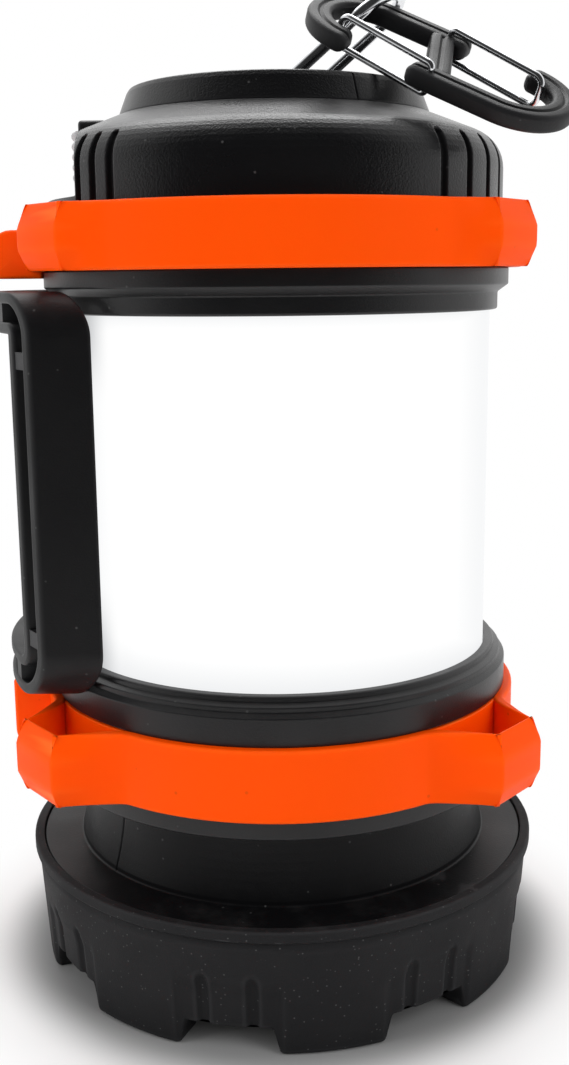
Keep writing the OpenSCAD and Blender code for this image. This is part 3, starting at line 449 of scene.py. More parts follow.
def scratchGroup():
    # fine rubbing marks, in patches: thin noise times broad noise times the amount
    group, given, end = newGroup("rubMarks", [("Amount", 0.5)], ["Mask"])
    lines = mapRange(group, noise(group, given["Vector"], 900.0, 3.0), 0.62, 0.72)
    where = mapRange(group, noise(group, given["Vector"], 40.0, 2.0), 0.45, 0.65)
    both = maths(group, "MULTIPLY", lines, where)
    group.links.new(maths(group, "MULTIPLY", both, given["Amount"]), end.inputs["Mask"])
    return group


grain = grainGroup()
wearAndSheen = wearAndSheenGroup()
rubMarks = scratchGroup()


def mouldedPlastic(name, settings):
    # black or coloured moulding: its colour, then specks, paler edges (rubbed wear and painted
    # highlight), dust and rub marks laid over it one after another, with an uneven sheen and a
    # grain bump
    material, tree, shader, place = newMaterial(name, **settings.get("sockets", {}))
    texture = useGroup(tree, grain, {"Vector": place, "Grain Scale": settings["grainScale"],
                                     "Speck Scale": settings["speckScale"],
                                     "Speck Amount": settings["specks"]})
    wearAndSheenMasks = useGroup(tree, wearAndSheen, {"Vector": place, "Edge Reach": settings["edgeReach"]})
    color = settings["color"]
    # the paler edges are partly rubbed wear and partly a painted highlight along convex edges
    for mask, show, tint in ((texture["Specks"], "speckShow", "speckColor"),
                             (wearAndSheenMasks["Edge"], "edgeWearAndSheenShow", "edgeWearAndSheenColor"),
                             (wearAndSheenMasks["Dust"], "dust", "dustColor")):
        color = mixColor(tree, maths(tree, "MULTIPLY", mask, settings[show]), color, settings[tint])
    if settings.get("marks"):
        along = addNode(tree, "Mapping", {"Vector": place, "Scale": settings["marksScale"]})
        marks = useGroup(tree, rubMarks, {"Vector": along.outputs[0], "Amount": settings["marks"]})
        color = mixColor(tree, marks["Mask"], color, settings["marksColor"])
    tree.links.new(color, shader.inputs["Base Color"])
    rough = mapRange(tree, texture["Shift"], 0.3, 0.7, *settings["roughness"])
    tree.links.new(rough, shader.inputs["Roughness"])
    addBump(tree, shader, texture["Height"], settings["bump"], 0.0001)
    return material


blackBase = {"color": (0.006, 0.006, 0.0065), "grainScale": 2600.0, "speckScale": 700.0,
             "specks": 0.05, "speckShow": 0.35, "speckColor": (0.12, 0.12, 0.12),
             "edgeReach": 0.08, "edgeWearAndSheenShow": 0.35, "edgeWearAndSheenColor": (0.06, 0.06, 0.063), "dust": 0.1,
             "dustColor": (0.1, 0.1, 0.1), "roughness": (0.3, 0.42), "bump": 0.4,
             "sockets": {"IOR": 1.5, "Specular_IOR_Level": 0.4}}
shellBlack = mouldedPlastic("satinShell", blackBase)
# a darker, less shiny copy of the shell's black: painted shade for the torch head below the body,
# with a slightly rougher finish
shadedMatteBlack = mouldedPlastic("shadedMatteCore", {
    **blackBase, "color": (0.004, 0.004, 0.0045), "roughness": (0.38, 0.5),
    "sockets": {"IOR": 1.5, "Specular_IOR_Level": 0.2}})
capBlack = mouldedPlastic("glossyCap", {
    **blackBase, "color": (0.004, 0.004, 0.0045), "roughness": (0.24, 0.36), "bump": 0.8,
    "dust": 0.04, "grainScale": 2300.0})
handleBlack = mouldedPlastic("rubbedHandle", {
    **blackBase, "color": (0.0035, 0.0035, 0.004), "roughness": (0.42, 0.56), "marks": 0.3,
    "marksScale": (1.0, 1.0, 0.04), "marksColor": (0.04, 0.04, 0.04),
    "sockets": {"IOR": 1.5, "Specular_IOR_Level": 0.28}})
clipBlack = mouldedPlastic("clipNylon", {
    **blackBase, "color": (0.004, 0.004, 0.0045), "roughness": (0.4, 0.52),
    "sockets": {"IOR": 1.5, "Specular_IOR_Level": 0.26}})
# its paler edges, stronger here, are rubbed wear and a painted highlight, such as the light line
# along the rim's top edge
bezelRubber = mouldedPlastic("bezelRubber", {
    **blackBase, "color": (0.012, 0.012, 0.013), "specks": 0.25, "speckShow": 0.7,
    "speckScale": 1100.0, "speckColor": (0.1, 0.1, 0.1), "roughness": (0.62, 0.8), "bump": 0.6,
    "edgeWearAndSheenShow": 0.5, "dust": 0.2, "sockets": {"IOR": 1.45, "Specular_IOR_Level": 0.25}})
# the paler orange on its edges is partly rubbed wear and partly a painted sheen of side light
orangePlastic = mouldedPlastic("orangeBumper", {
    "color": (1.0, 0.078, 0.0), "grainScale": 1800.0, "speckScale": 500.0, "specks": 0.02,
    "speckShow": 0.3, "speckColor": (0.35, 0.05, 0.01), "edgeReach": 0.1, "edgeWearAndSheenShow": 0.6,
    "edgeWearAndSheenColor": (1.0, 0.17, 0.02), "dust": 0.03, "dustColor": (0.9, 0.3, 0.15),
    "roughness": (0.38, 0.48), "bump": 0.12,
    "sockets": {"IOR": 1.46, "Specular_IOR_Level": 0.07, "Subsurface_Weight": 0.12,
                "Subsurface_Scale": 0.003, "Subsurface_Radius": (1.0, 0.25, 0.05)}})
greyRubber = mouldedPlastic("greyPad", {
    **blackBase, "color": (0.5, 0.5, 0.51), "speckShow": 0.3, "edgeWearAndSheenColor": (0.72, 0.72, 0.72),
    "roughness": (0.5, 0.62)})


def polishedSteel(name, color, low, high, lines):
    # bright wire: roughness from low to high in patches, and a bump of faint drawing lines
    material, tree, shader, place = newMaterial(name, Metallic=1.0)
    patches = noise(tree, place, 300.0, 3.0)
    tree.links.new(mapRange(tree, patches, 0.3, 0.7, low, high), shader.inputs["Roughness"])
    tint = mixColor(tree, patches, color, tuple(0.9 * c for c in color))
    tree.links.new(tint, shader.inputs["Base Color"])
    addBump(tree, shader, noise(tree, place, lines, 1.0), 0.1, 0.00005)
    return material


brightWire = polishedSteel("brightWire", (0.82, 0.83, 0.85), 0.08, 0.2, 2200.0)
pinSteel = polishedSteel("pinSteel", (0.6, 0.6, 0.62), 0.22, 0.34, 1500.0)
mirrorCoat = polishedSteel("mirrorCoat", (0.9, 0.9, 0.92), 0.03, 0.08, 120.0)

# the drum's colours: bright, then dim, edge and corner for its painted shade, with where that shade
# starts and ends
glow = {"bright": (1.0, 1.0, 1.0), "dim": (0.91, 0.92, 0.93), "edge": (0.84, 0.85, 0.86),
        "corner": (0.46, 0.47, 0.48), "leftFrom": 0.86, "leftTo": 0.69, "rightFrom": 0.7,
        "rightShare": 0.8, "foot": 0.011, "head": 0.006, "cornerFrom": 0.45, "cornerTo": 0.9}


def glowingDrum():
    # frosted drum lit from inside: bright, with painted shade: dimmer towards the handle, a little
    # darker at its right side and its two ends, and darkest in the corners on the handle's side
    material, tree, shader, place = newMaterial("glowingDrum", Roughness=0.6, IOR=1.45,
                                                Specular_IOR_Level=0.02, Emission_Strength=1.0)
    low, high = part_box("diffuser")
    middle = (low[2] + high[2]) / 2
    halfHeight = high[2] - middle
    at = addNode(tree, "SeparateXYZ", {0: place}).outputs
    left = mapRange(tree, at["X"], low[0] * glow["leftFrom"], low[0] * glow["leftTo"], 1, 0, True)
    right = mapRange(tree, at["X"], high[0] * glow["rightFrom"], high[0], 0, glow["rightShare"],
                     True)
    foot = mapRange(tree, at["Z"], low[2], low[2] + glow["foot"], 1, 0, True)
    head = mapRange(tree, at["Z"], high[2] - glow["head"], high[2], 0, 1, True)
    rim = maths(tree, "MAXIMUM", maths(tree, "MAXIMUM", foot, head), right)
    fromMiddle = maths(tree, "ABSOLUTE", maths(tree, "SUBTRACT", at["Z"], middle))
    endShadeMask = mapRange(tree, fromMiddle, halfHeight * glow["cornerFrom"],
                       halfHeight * glow["cornerTo"], 0.0, 1.0, True)
    frost = mapRange(tree, noise(tree, place, 25.0, 3.0), 0.0, 1.0, 0.0, 0.02)
    # painted shade: dim towards the handle, edge at the right side and ends, corner on the handle's
    # side near the ends
    color = mixColor(tree, left, glow["bright"], glow["dim"])
    color = mixColor(tree, rim, color, glow["edge"], "DARKEN")
    color = mixColor(tree, maths(tree, "MULTIPLY", endShadeMask, left), color, glow["corner"])
    color = mixColor(tree, frost, color, glow["dim"])
    tree.links.new(color, shader.inputs["Emission Color"])
    unlit = mixColor(tree, frost, (0.03, 0.03, 0.03), (0.02, 0.02, 0.02))
    tree.links.new(unlit, shader.inputs["Base Color"])
    return material


def plainWithGrain(name, color, roughness, scale=900.0, amount=0.12, **sockets):
    # inner parts: a colour that noise darkens by amount at most, with a fine bump
    material, tree, shader, place = newMaterial(name, **sockets)
    spots = noise(tree, place, scale, 4.0)
    tint = mixColor(tree, spots, color, tuple(c * (1 - amount) for c in color))
    tree.links.new(tint, shader.inputs["Base Color"])
    rough = mapRange(tree, spots, 0.0, 1.0, roughness - 0.06, roughness + 0.06)
    tree.links.new(rough, shader.inputs["Roughness"])
    addBump(tree, shader, spots, 0.15, 0.00008)
    return material


drumGlow = glowingDrum()
whitePlastic = plainWithGrain("whitePlastic", (0.85, 0.85, 0.83), 0.5)
boardGreen = plainWithGrain("boardGreen", (0.02, 0.16, 0.07), 0.35)
cellSleeve = plainWithGrain("cellSleeve", (0.03, 0.1, 0.4), 0.3)
lampYellow = plainWithGrain("lampYellow", (0.9, 0.75, 0.15), 0.4)
lensClear = plainWithGrain("lensClear", (0.96, 0.98, 1.0), 0.08, scale=60.0, amount=0.02,
                           Transmission_Weight=1.0, IOR=1.49)
print("finishes made")


def shell(name, node, line, angles=None, shape=None, material=shellBlack, sharp=38):
    # a turned piece of the black shell that stands for one CAD node
    makePiece(name, [lathe(line, angles, shape)], "lantern", material, [node], sharp)


# in the dictionaries of the pieces, lengths are in millimetres and angles in degrees

bezel = {"teeth": 8, "toothAngle": 24.0, "firstTooth": 11.5, "notchHeight": 5.4,
         "notchEase": (1.2, 0.8), "notchBelow": 1.4, "bore": 47.0, "footRadius": 55.0,
         "skin": 1.35, "band": 2.8, "bandStep": 0.8, "plateRadius": 55.35, "plateThickness": 3.0,
         "fluteWidth": 1.5, "fluteEdge": (0.35, 1.15), "fluteDepth": 0.95, "fluteSpacing": 10.2,
         "fluteTop": 15.0, "fluteTaper": 0.6, "panelDepth": 0.6, "panelEase": (0.4, 1.6),
         "panelTop": 15.5, "panelFade": (2.5, 1.5), "bandGroove": 0.45, "grooveWidth": 0.28,
         "grooveBelow": 0.3}


def bezelPiece():
    # a turned skirt: between the teeth its foot is lifted by notchHeight * (1 - step01(angle from
    # the notch's middle)), and what is above is squeezed up to the seat; the flutes, the panels
    # between the teeth and the fine line under the rim are taken off the radius
    rim, _, top = corners("rubber_bezel")[1]
    foot, bore, plate = bezel["footRadius"], bezel["bore"], bezel["plateRadius"]
    skirt = rim - bezel["bandStep"]
    bandZ = top - bezel["band"]
    seat = top - bezel["plateThickness"]
    line = profile([[bore, 0], [foot, 0], [skirt, bandZ], [rim, bandZ + bezel["bandStep"]],
                    [rim, top], [plate, top], [plate, seat], [bore, seat]],
                   [0.5, 1.3, 0.2, 0.2, 0.45, 0.3, 0.1, 0.3], 5, 0.15, 1.0)
    pitch = 360.0 / bezel["teeth"]
    notches = bezel["firstTooth"] + (np.arange(bezel["teeth"]) + 0.5) * pitch
    half = (pitch - bezel["toothAngle"]) / 2
    below, wide, panelTop = bezel["notchBelow"], bezel["fluteWidth"], bezel["panelTop"]

    def shape(a, r, z):
        # the lift and squeeze first, then what is taken off the radius
        away = np.abs((np.degrees(a) - notches[0] + pitch / 2) % pitch - pitch / 2)
        lift = bezel["notchHeight"] * within(away, half, bezel["notchEase"])
        share = np.clip((z - below) / (seat - below), 0, 1)
        newZ = np.where(z < below, z + lift, below + lift + share * (seat - below - lift))
        newZ = np.where(z > seat, z, newZ)
        outer = r > foot - bezel["skin"]
        taper = (skirt - foot) / bandZ
        newR = np.where(outer & (z < bandZ - 0.2), r + taper * (newZ - z), r)
        across = np.abs(away * math.pi / 180 * foot - bezel["fluteSpacing"] / 2)
        rise = np.maximum(newZ - bezel["fluteTop"], 0)
        gap = np.hypot(across, rise * bezel["fluteTaper"]) / wide
        dent = bezel["fluteDepth"] * (1 - step01(gap, *bezel["fluteEdge"]))
        panel = bezel["panelDepth"] * within(away, half, bezel["panelEase"])
        panel = panel * within(newZ, panelTop, bezel["panelFade"])
        groove = np.exp(-((newZ - bandZ + bezel["grooveBelow"]) / bezel["grooveWidth"]) ** 2)
        taken = dent + panel + bezel["bandGroove"] * groove
        return np.where(outer & (newZ < bandZ + 0.1), newR - taken, newR), newZ

    angles = finerAngles(notches, half + 1.8, 56, base=130)
    makePiece("bezelSkirt", [lathe(line, angles, shape)], "lantern", bezelRubber,
              ["rubber_bezel"], 45)


seams = {"angle": -49.0, "depth": 0.28, "width": 0.22}


def seamDent(a, r):
    # the moulding line down the shell, and its twin on the far side
    return lineGroove(a, r, seams["angle"], seams["depth"], seams["width"], 180)


def seamAngles():
    # angles round a piece that has the moulding line
    return finerAngles([seams["angle"], seams["angle"] + 180], 1.2, 21, base=200)


torch = {"underRim": 0.4, "plate": 2.6, "tubeOut": 46.9, "tubeIn": 44.6, "neckFoot": 46.4,
         "neckTop": 43.8, "neckStep": 1.2, "wall": 2.4, "hub": 3.0, "deckLow": 0.6, "deckHigh": 1.4}


def headPiece():
    # tube, plate and neck in one outline; the neck's radius falls as (1 - t)^2 on its way up
    low, high = corners("torch_shell")
    plateTop = corners("rubber_bezel")[1][2] - torch["underRim"]
    plateZ = plateTop - torch["plate"]
    under, over = plateTop - torch["deckLow"], plateTop + torch["deckHigh"]
    stepTop = plateTop + torch["neckStep"]
    tubeIn, tubeOut, hub = torch["tubeIn"], torch["tubeOut"], torch["hub"]
    neckFoot, neckTop = torch["neckFoot"], torch["neckTop"]
    neckIn = neckTop - torch["wall"]
    t = np.linspace(0, 1, 9)[1:]
    neck = np.stack([neckTop + (neckFoot - neckTop) * (1 - t) ** 2,
                     stepTop + (high[2] - stepTop) * t], 1)
    line = profile([[hub, under], [tubeIn, under], [tubeIn, low[2]], [tubeOut, low[2]],
                    [tubeOut, plateZ], [high[0], plateZ], [high[0], plateTop],
                    [neckFoot, plateTop], [neckFoot, stepTop], *neck.tolist(),
                    [neckIn, high[2]], [neckIn, over], [hub, over]],
                   [0, 0.2, 0.4, 0.5, 0.1, 0.2, 0.35, 0.45, 0.6] + [0.0] * 7 + [0.2, 0.2, 0.2, 0],
                   4, 0.12, 1.5)

    def shape(a, r, z):
        # the moulding line, on the neck alone
        onNeck = (z > plateTop + 0.2) & (r > neckTop - 1.2)
        return np.where(onNeck, r - seamDent(a, r), r), z

    # the torch head takes the darker copy of the black, as painted shade
    shell("torchHead", "torch_shell", line, seamAngles(), shape, shadedMatteBlack)


ring = {"band": 52.6, "seat": 49.1, "hoop": 51.0, "inset": 0.25, "wall": 2.4, "lugWidth": 15.0,
        "lugRoot": 15.0, "easeOut": 3.4, "easeIn": 3.8, "flank": (0.80, -0.60), "slope": 1.9,
        "slopeHigh": 4.6, "slopeLow": 4.0, "lowShare": 0.9, "bulge": (0.6, 1.5), "arcStep": 2.4,
        "corner": 1.1, "solidLug": 2, "fillIn": 0.5, "fillOut": 1.6, "fillFoot": 4.2,
        "fillFace": 0.8, "fillEnd": 0.3, "guardIn": 49.5,
        "guardWidth": 22.0,
        "lower": {"low": 48.0, "high": 63.0, "reach": 63.6, "angle": 51.0, "turn": -0.4,
                  "guardLow": 0.0, "guardHigh": 1.4, "guardCorner": (0.6, 4.4, 0.9, 0.8)},
        "upper": {"low": 153.4, "high": 166.0, "reach": 57.8, "angle": 52.8, "turn": 1.9,
                  "guardLow": -1.4, "guardHigh": -4.0, "guardCorner": (0.8, 0.9, 4.4, 0.6)}}

body = {"hub": 3.0, "clear": 0.02, "floor": 2.2, "ringSeat": 49.0, "bore": 46.15, "lip": 2.2,
        "step": 1.1, "steps": (-1.5, -0.6, 0.4, 1.0), "wallIn": 46.8, "ledge": 43.0,
        "ledgeIn": 41.0, "ledgeLow": 1.4, "ledgeFoot": 2.9, "coneLow": 7.4}


def bodyPiece():
    # one turned outline: floor, wall with the ring's seat, stepped lip, and the drum's ledge inside
    radius, _, top = corners("lower_body")[1]
    neckTop = corners("torch_shell")[1][2]
    seat = corners("diffuser")[0][2]
    foot, floor = neckTop + body["clear"], neckTop + body["floor"]
    ringLow, ringHigh = ring["lower"]["low"], ring["lower"]["high"]
    hub, bore, wallIn, ringSeat = body["hub"], body["bore"], body["wallIn"], body["ringSeat"]
    stepR, lipR = radius - body["step"], bore + body["lip"]
    ledge, ledgeIn = body["ledge"], body["ledgeIn"]
    ledgeLow, ledgeFoot = seat - body["ledgeLow"], seat - body["ledgeFoot"]
    stepZ = seat + np.array(body["steps"])
    line = profile([[hub, foot], [radius, foot], [radius, ringLow], [ringSeat, ringLow],
                    [ringSeat, ringHigh], [radius, ringHigh], [radius, stepZ[0]],
                    [stepR, stepZ[1]], [stepR, stepZ[2]], [lipR, stepZ[3]], [lipR, top],
                    [bore, top], [bore, seat], [ledge, seat], [ledge, ledgeLow],
                    [ledgeIn, ledgeLow], [ledgeIn, ledgeFoot], [wallIn, seat - body["coneLow"]],
                    [wallIn, floor], [hub, floor]],
                   [0, 0.5, 0.3, 0.1, 0.1, 0.3, 0.35, 0.3, 0.3, 0.35, 0.5, 0.35] + [0.1] * 8,
                   4, 0.12, 1.5)

    def shape(a, r, z):
        # the moulding line, on the wall up to the ring
        onWall = (r > bore + 0.6) & (z < ringHigh - 0.5)
        return np.where(onWall, r - seamDent(a, r), r), z

    shell("lowerBody", "lower_body", line, seamAngles(), shape)


collar = {"hub": 3.0, "bore": 46.15, "lip": 47.6, "lipHigh": 3.6, "lipSlope": 1.6, "ringGap": 5.0,
          "ringSeat": 49.0, "wallIn": 46.2, "deckLow": 149.0, "deckHigh": 151.0, "sealRadius": 42.5,
          "sealTop": 147.4}


def collarPiece():
    # one turned outline: the lip over the drum, the step above it, the ring's seat and the deck
    low, high = corners("upper_collar")
    drumTop, top = low[2], high[2]
    lipTop = drumTop + collar["lipHigh"]
    ringZ = lipTop + collar["ringGap"]
    hub, bore, lip, wallIn = collar["hub"], collar["bore"], collar["lip"], collar["wallIn"]
    ringSeat, sealR, sealTop = collar["ringSeat"], collar["sealRadius"], collar["sealTop"]
    deckLow, deckHigh = collar["deckLow"], collar["deckHigh"]
    line = profile([[bore, drumTop], [lip, drumTop], [lip, lipTop],
                    [high[0], lipTop + collar["lipSlope"]], [high[0], ringZ], [ringSeat, ringZ],
                    [ringSeat, top], [wallIn, top], [wallIn, deckHigh], [hub, deckHigh],
                    [hub, deckLow], [sealR, deckLow], [sealR, sealTop], [bore, sealTop]],
                   [0.2, 0.5, 0.5, 0.45, 0.25, 0.1, 0.2, 0.2, 0.2, 0, 0, 0.1, 0.1, 0.1],
                   4, 0.12, 1.5)
    shell("upperCollar", "upper_collar", line)


drum = {"wall": 2.0, "round": 0.3}


def drumPiece():
    # a plain turned tube with rounded ends
    low, high = corners("diffuser")
    inner, outer = high[0] - drum["wall"], high[0]
    line = profile([[inner, low[2]], [outer, low[2]], [outer, high[2]], [inner, high[2]]],
                   drum["round"], 3, 0.2, 4)
    makePiece("glowDrum", [lathe(line)], "lantern", drumGlow, ["diffuser"])


cap = {"wall": 2.4, "side": 7.6, "shoulder": 8.0, "cornerHigh": 12.7, "flatIn": 10.0, "sill": 1.6,
       "sillEdge": 0.12, "rim": 1.0, "crownGap": 0.4, "innerDrop": 0.6, "flatCorner": 0.35,
       "grooveHigh": 12.0, "grooveWidth": 1.7, "grooveEase": (0.3, 0.25), "grooveDepth": 1.1,
       "grooveStart": 42.0, "groovePitch": 9.6, "grooveRight": 11, "leftStart": 38.8,
       "leftPitch": 6.0, "grooveLeft": 3, "portHalf": 10.35, "portLow": 1.4, "portHigh": 12.2,
       "portEase": (0.15, 0.15), "portTopEase": (0.2, 0.1), "portFloor": 40.6}


def capPiece():
    # a turned cap: grooves are cut by distance from their middle lines, the flat side is
    # x = -flat, so r = the softer of r and flat / -sin(a), and the port's recess is y = portFloor
    low, high = corners("top_cap")
    radius, foot, top = high[0], low[2], high[2]
    seat = corners("crown")[1][0] + cap["crownGap"]
    wall, rim, edge = cap["wall"], cap["rim"], cap["sillEdge"]
    inner, flat = radius - wall, radius - cap["flatIn"]
    cornerZ, sillTop = foot + cap["cornerHigh"], foot + cap["sill"]
    grooveTop, grooveHalf = foot + cap["grooveHigh"], cap["grooveWidth"] / 2
    portLow, portHigh, portHalf = foot + cap["portLow"], foot + cap["portHigh"], cap["portHalf"]
    line = profile([[inner, foot], [radius, foot], [radius, sillTop - edge],
                    [radius, sillTop + edge], [radius, cornerZ], [seat, top], [seat - rim, top],
                    [seat - rim, top - wall], [inner, cornerZ - wall * cap["innerDrop"]]],
                   [0.1, 0.2, 0, 0, cap["shoulder"], 0.3, 0.1, 0.1, 3.0], 8, 0.15, 0.6)
    lastOuter = np.argmin(np.hypot(line[:, 0] - seat + rim / 2, line[:, 1] - top))
    outer = (line[:, 0] > inner + 0.5) | (line[:, 1] > foot + cap["side"])
    outer = outer & (np.arange(len(line)) <= lastOuter)
    right = cap["grooveStart"] + np.arange(cap["grooveRight"]) * cap["groovePitch"]
    left = cap["leftStart"] + np.arange(cap["grooveLeft"]) * cap["leftPitch"]
    places = np.concatenate([right, -left, 180 + left])

    def shape(a, r, z):
        # the grooves, then the flat side, then the port's recess
        off = np.min(np.abs((np.degrees(a)[..., None] - places + 180) % 360 - 180), -1)
        away = np.hypot(off * math.pi / 180 * radius, np.maximum(z - grooveTop, 0))
        dent = cap["grooveDepth"] * within(away, grooveHalf, cap["grooveEase"])
        r = np.where(outer & (z < top - 0.1), r - dent, r)
        side = np.maximum(-np.sin(a), 1e-3) + 0 * r
        aboveSill = step01(z, sillTop - 0.1, sillTop + 0.1)
        r = np.where(outer, r + (softMin(r, flat / side, cap["flatCorner"]) - r) * aboveSill,
                     np.minimum(r, (flat - wall) / side))
        inPort = within(np.abs(r * np.sin(a)), portHalf, cap["portEase"])
        inPort = inPort * (1 - within(z, portLow, cap["portEase"]))
        inPort = inPort * within(z, portHigh, cap["portTopEase"])
        inPort = inPort * (np.cos(a) < -0.5) * outer
        floor = np.minimum(r, cap["portFloor"] / np.maximum(-np.cos(a), 1e-3))
        return r + (floor - r) * inPort, z

    portTurn = math.degrees(math.atan2(portHalf, cap["portFloor"]))
    flatTurn = math.degrees(math.acos(flat / radius))
    edges = [180 - portTurn, 180 + portTurn, 270 - flatTurn, 270 + flatTurn]
    angles = finerAngles(np.concatenate([places, edges]), 1.6, 17, base=200)
    shell("gripCap", "top_cap", line, angles, shape, capBlack, 42)


crown = {"topRadius": 30.6, "edgeWidth": 0.6, "edgeHeight": 1.0, "dish": 26.0, "dishDeep": 2.8,
         "dishSlope": 0.6, "line": 30.0, "lineDepth": 0.22, "lineWidth": 0.16}


def crownPiece():
    # a turned cone with a dish in its top and one moulding line down its side
    low, high = corners("crown")
    foot, topZ = high[0], high[2]
    topR, dish, dishZ = crown["topRadius"], crown["dish"], high[2] - crown["dishDeep"]
    line = profile([[0.01, low[2]], [foot, low[2]],
                    [topR + crown["edgeWidth"], topZ - crown["edgeHeight"]], [topR, topZ],
                    [dish, topZ], [dish - crown["dishSlope"], dishZ], [0.01, dishZ]],
                   [0, 0.3, 0.8, 0.6, 0.5, 0.6, 0], 5, 0.15, 2.0)

    def shape(a, r, z):
        # the moulding line, on the cone alone
        onSide = (r > topR - 0.6) * (z < topZ - 0.3)
        dent = lineGroove(a, r, crown["line"], crown["lineDepth"], crown["lineWidth"])
        return r - dent * onSide, z

    shell("dishedCrown", "crown", line, finerAngles([crown["line"]], 0.9, 21, base=160), shape,
          capBlack)


def lugOutline(reach):
    # one lug seen from above: a cubic curve that leaves along the band and meets the flat outer
    # face at the flank's slope, then its mirror image
    half, rootY = ring["lugWidth"] / 2, ring["lugRoot"]
    rootX = math.sqrt(ring["band"] ** 2 - rootY ** 2)
    p0 = np.array([rootX, rootY])
    p1 = p0 + ring["easeOut"] * np.array([rootY, -rootX]) / ring["band"]
    p3 = np.array([reach, half])
    p2 = p3 - ring["easeIn"] * np.array(ring["flank"])
    t = np.linspace(0, 1, 13)[:, None]
    curve = (1 - t) ** 3 * p0 + 3 * t * (1 - t) ** 2 * p1 + 3 * t * t * (1 - t) * p2 + t ** 3 * p3
    upper = np.concatenate([curve, [[reach, 0.0]]])
    line = np.concatenate([upper, upper[-2::-1] * [1, -1]])
    radius = np.zeros(len(line))
    radius[[len(curve) - 1, -len(curve)]] = ring["corner"]
    return roundCorners(line, radius, 5, closed=False)


def ringParts(node, place):
    # a flat section carried round a path of four lugs joined by arcs of the band; on a lug the
    # outer face is drawn in by slope * its share of the way to the top or bottom edge
    z0, z1, reach, angle = place["low"], place["high"], place["reach"], place["angle"]
    x, y = lugOutline(reach)[::-1].T
    lugs = np.radians(np.array([angle, 180 - angle, 180 + angle, 360 - angle]) + place["turn"])
    half = math.asin(ring["lugRoot"] / ring["band"])
    pieces, bulge = [], []
    for centre, following in zip(lugs, np.append(lugs[1:], lugs[0] + tau)):
        pieces.append(np.stack([np.sin(centre) * x + np.cos(centre) * y,
                                -np.cos(centre) * x + np.sin(centre) * y], 1))
        bulge.append(step01(np.hypot(x, y), ring["band"] + ring["bulge"][0],
                            reach - ring["bulge"][1]))
        start, end = centre + half, following - half
        count = int((end - start) / math.radians(ring["arcStep"]))
        span = np.linspace(start, end, max(6, count))[1:-1]
        pieces.append(np.stack([np.sin(span), -np.cos(span)], 1) * ring["band"])
        bulge.append(np.zeros(len(span)))
    path, bulge = np.concatenate(pieces), np.concatenate(bulge)
    normal = outward(path)
    height = z1 - z0
    section = profile([[-ring["wall"], 0], [0, 0], [0, height], [-ring["wall"], height]],
                      [0.35, 0.7, 0.7, 0.45], 5, 0.15, 1.1)
    across, up = section.T
    fall = np.maximum((up - (height - ring["slopeHigh"])) / ring["slopeHigh"], 0)
    lowFall = np.maximum((ring["slopeLow"] - up) / ring["slopeLow"], 0)
    fall = np.maximum(fall, lowFall * ring["lowShare"])
    outerSide = np.clip(1 + across / ring["wall"], 0, 1)
    push = across[None] - ring["slope"] * fall[None] * bulge[:, None] * outerSide[None]
    band = np.stack([path[:, :1] + normal[:, :1] * push, path[:, 1:] + normal[:, 1:] * push,
                     np.repeat(z0 + up[None], len(path), 0)], -1)
    low, high = z0 + ring["inset"], z1 - ring["inset"]
    hoop = profile([[ring["seat"], low], [ring["hoop"], low], [ring["hoop"], high],
                    [ring["seat"], high]], 0.3, 3)
    return [gridPart(band), lathe(hoop), guardPart(node, place),
            lugFilling(lugs[ring["solidLug"]], place)]


def lugFilling(centre, place):
    # the block that closes the lug behind the handle's hinge, drawn out sideways from the ring
    inner, outer = ring["hoop"] - ring["fillIn"], place["reach"] - ring["fillOut"]
    foot = ring["lugWidth"] / 2 + ring["fillFoot"]
    face = ring["lugWidth"] / 2 - ring["fillFace"]
    section = profile([[inner, -foot], [outer, -face], [outer, face], [inner, foot]],
                      0.4, 3, 0.2, 2.0)
    low, high = place["low"] + ring["fillEnd"], place["high"] - ring["fillEnd"]

    def toLug(a, b, c):
        # (out, across, up) turned to the lug's own direction
        return np.stack([np.sin(centre) * a + np.cos(centre) * b,
                         -np.cos(centre) * a + np.sin(centre) * b, c], -1)

    return extruded(section, low, high, 0.3, toLug)


def guardPart(node, place):
    # the rounded block beside the handle: a section (out, height) carried across the ring and bent
    # to its curve, out - (outer - sqrt(outer^2 - c^2))
    outer = -corners(node)[0][0]
    bottom, top = place["low"] + place["guardLow"], place["high"] + place["guardHigh"]
    half = ring["guardWidth"] / 2
    section = profile([[ring["guardIn"], bottom], [outer, bottom], [outer, top],
                       [ring["guardIn"], top]], place["guardCorner"], 7, 0.2, 1.2)

    def bent(a, b, c):
        # (out, up, across) bent to the ring's curve
        drop = np.sqrt(np.maximum(outer ** 2 - c ** 2, 1)) - outer
        return np.stack([-(a + drop), c, b], -1)

    return extruded(section, -half, half, 0.8, bent)


def ringPieces():
    # both bumpers, by the same formula
    for name, node, key in (("lowerBumper", "lower_ring", "lower"),
                            ("upperBumper", "upper_ring", "upper")):
        makePiece(name, ringParts(node, ring[key]), "lantern", orangePlastic,
                  [node], 40)


handle = {"innerR": 51.3, "outerR": 60.4, "halfWidth": 38.0, "ringGap": 3.9, "corner": 11.0,
          "topCorner": 8.5, "strap": 2.3, "gap": 3.6, "edge": 0.55, "postWidth": 3.4,
          "postY": 24.0, "postShares": (0.16, 0.84), "postDepths": (0.04, 0.96),
          "postSink": 1.6, "hingeX": 39.59, "hingeY": 37.6, "knuckle": 3.0, "knuckleBore": 1.46,
          "knuckleGap": 0.4, "knuckleMore": 1.0}


def onHandle(y, z, depth):
    # a point of the handle: x = -sqrt(radius^2 - y^2); depth runs from 0 inside to 1 outside
    radius = handle["innerR"] + (handle["outerR"] - handle["innerR"]) * depth
    return np.stack([-np.sqrt(np.maximum(radius ** 2 - y ** 2, 1.0)), y, z], -1)


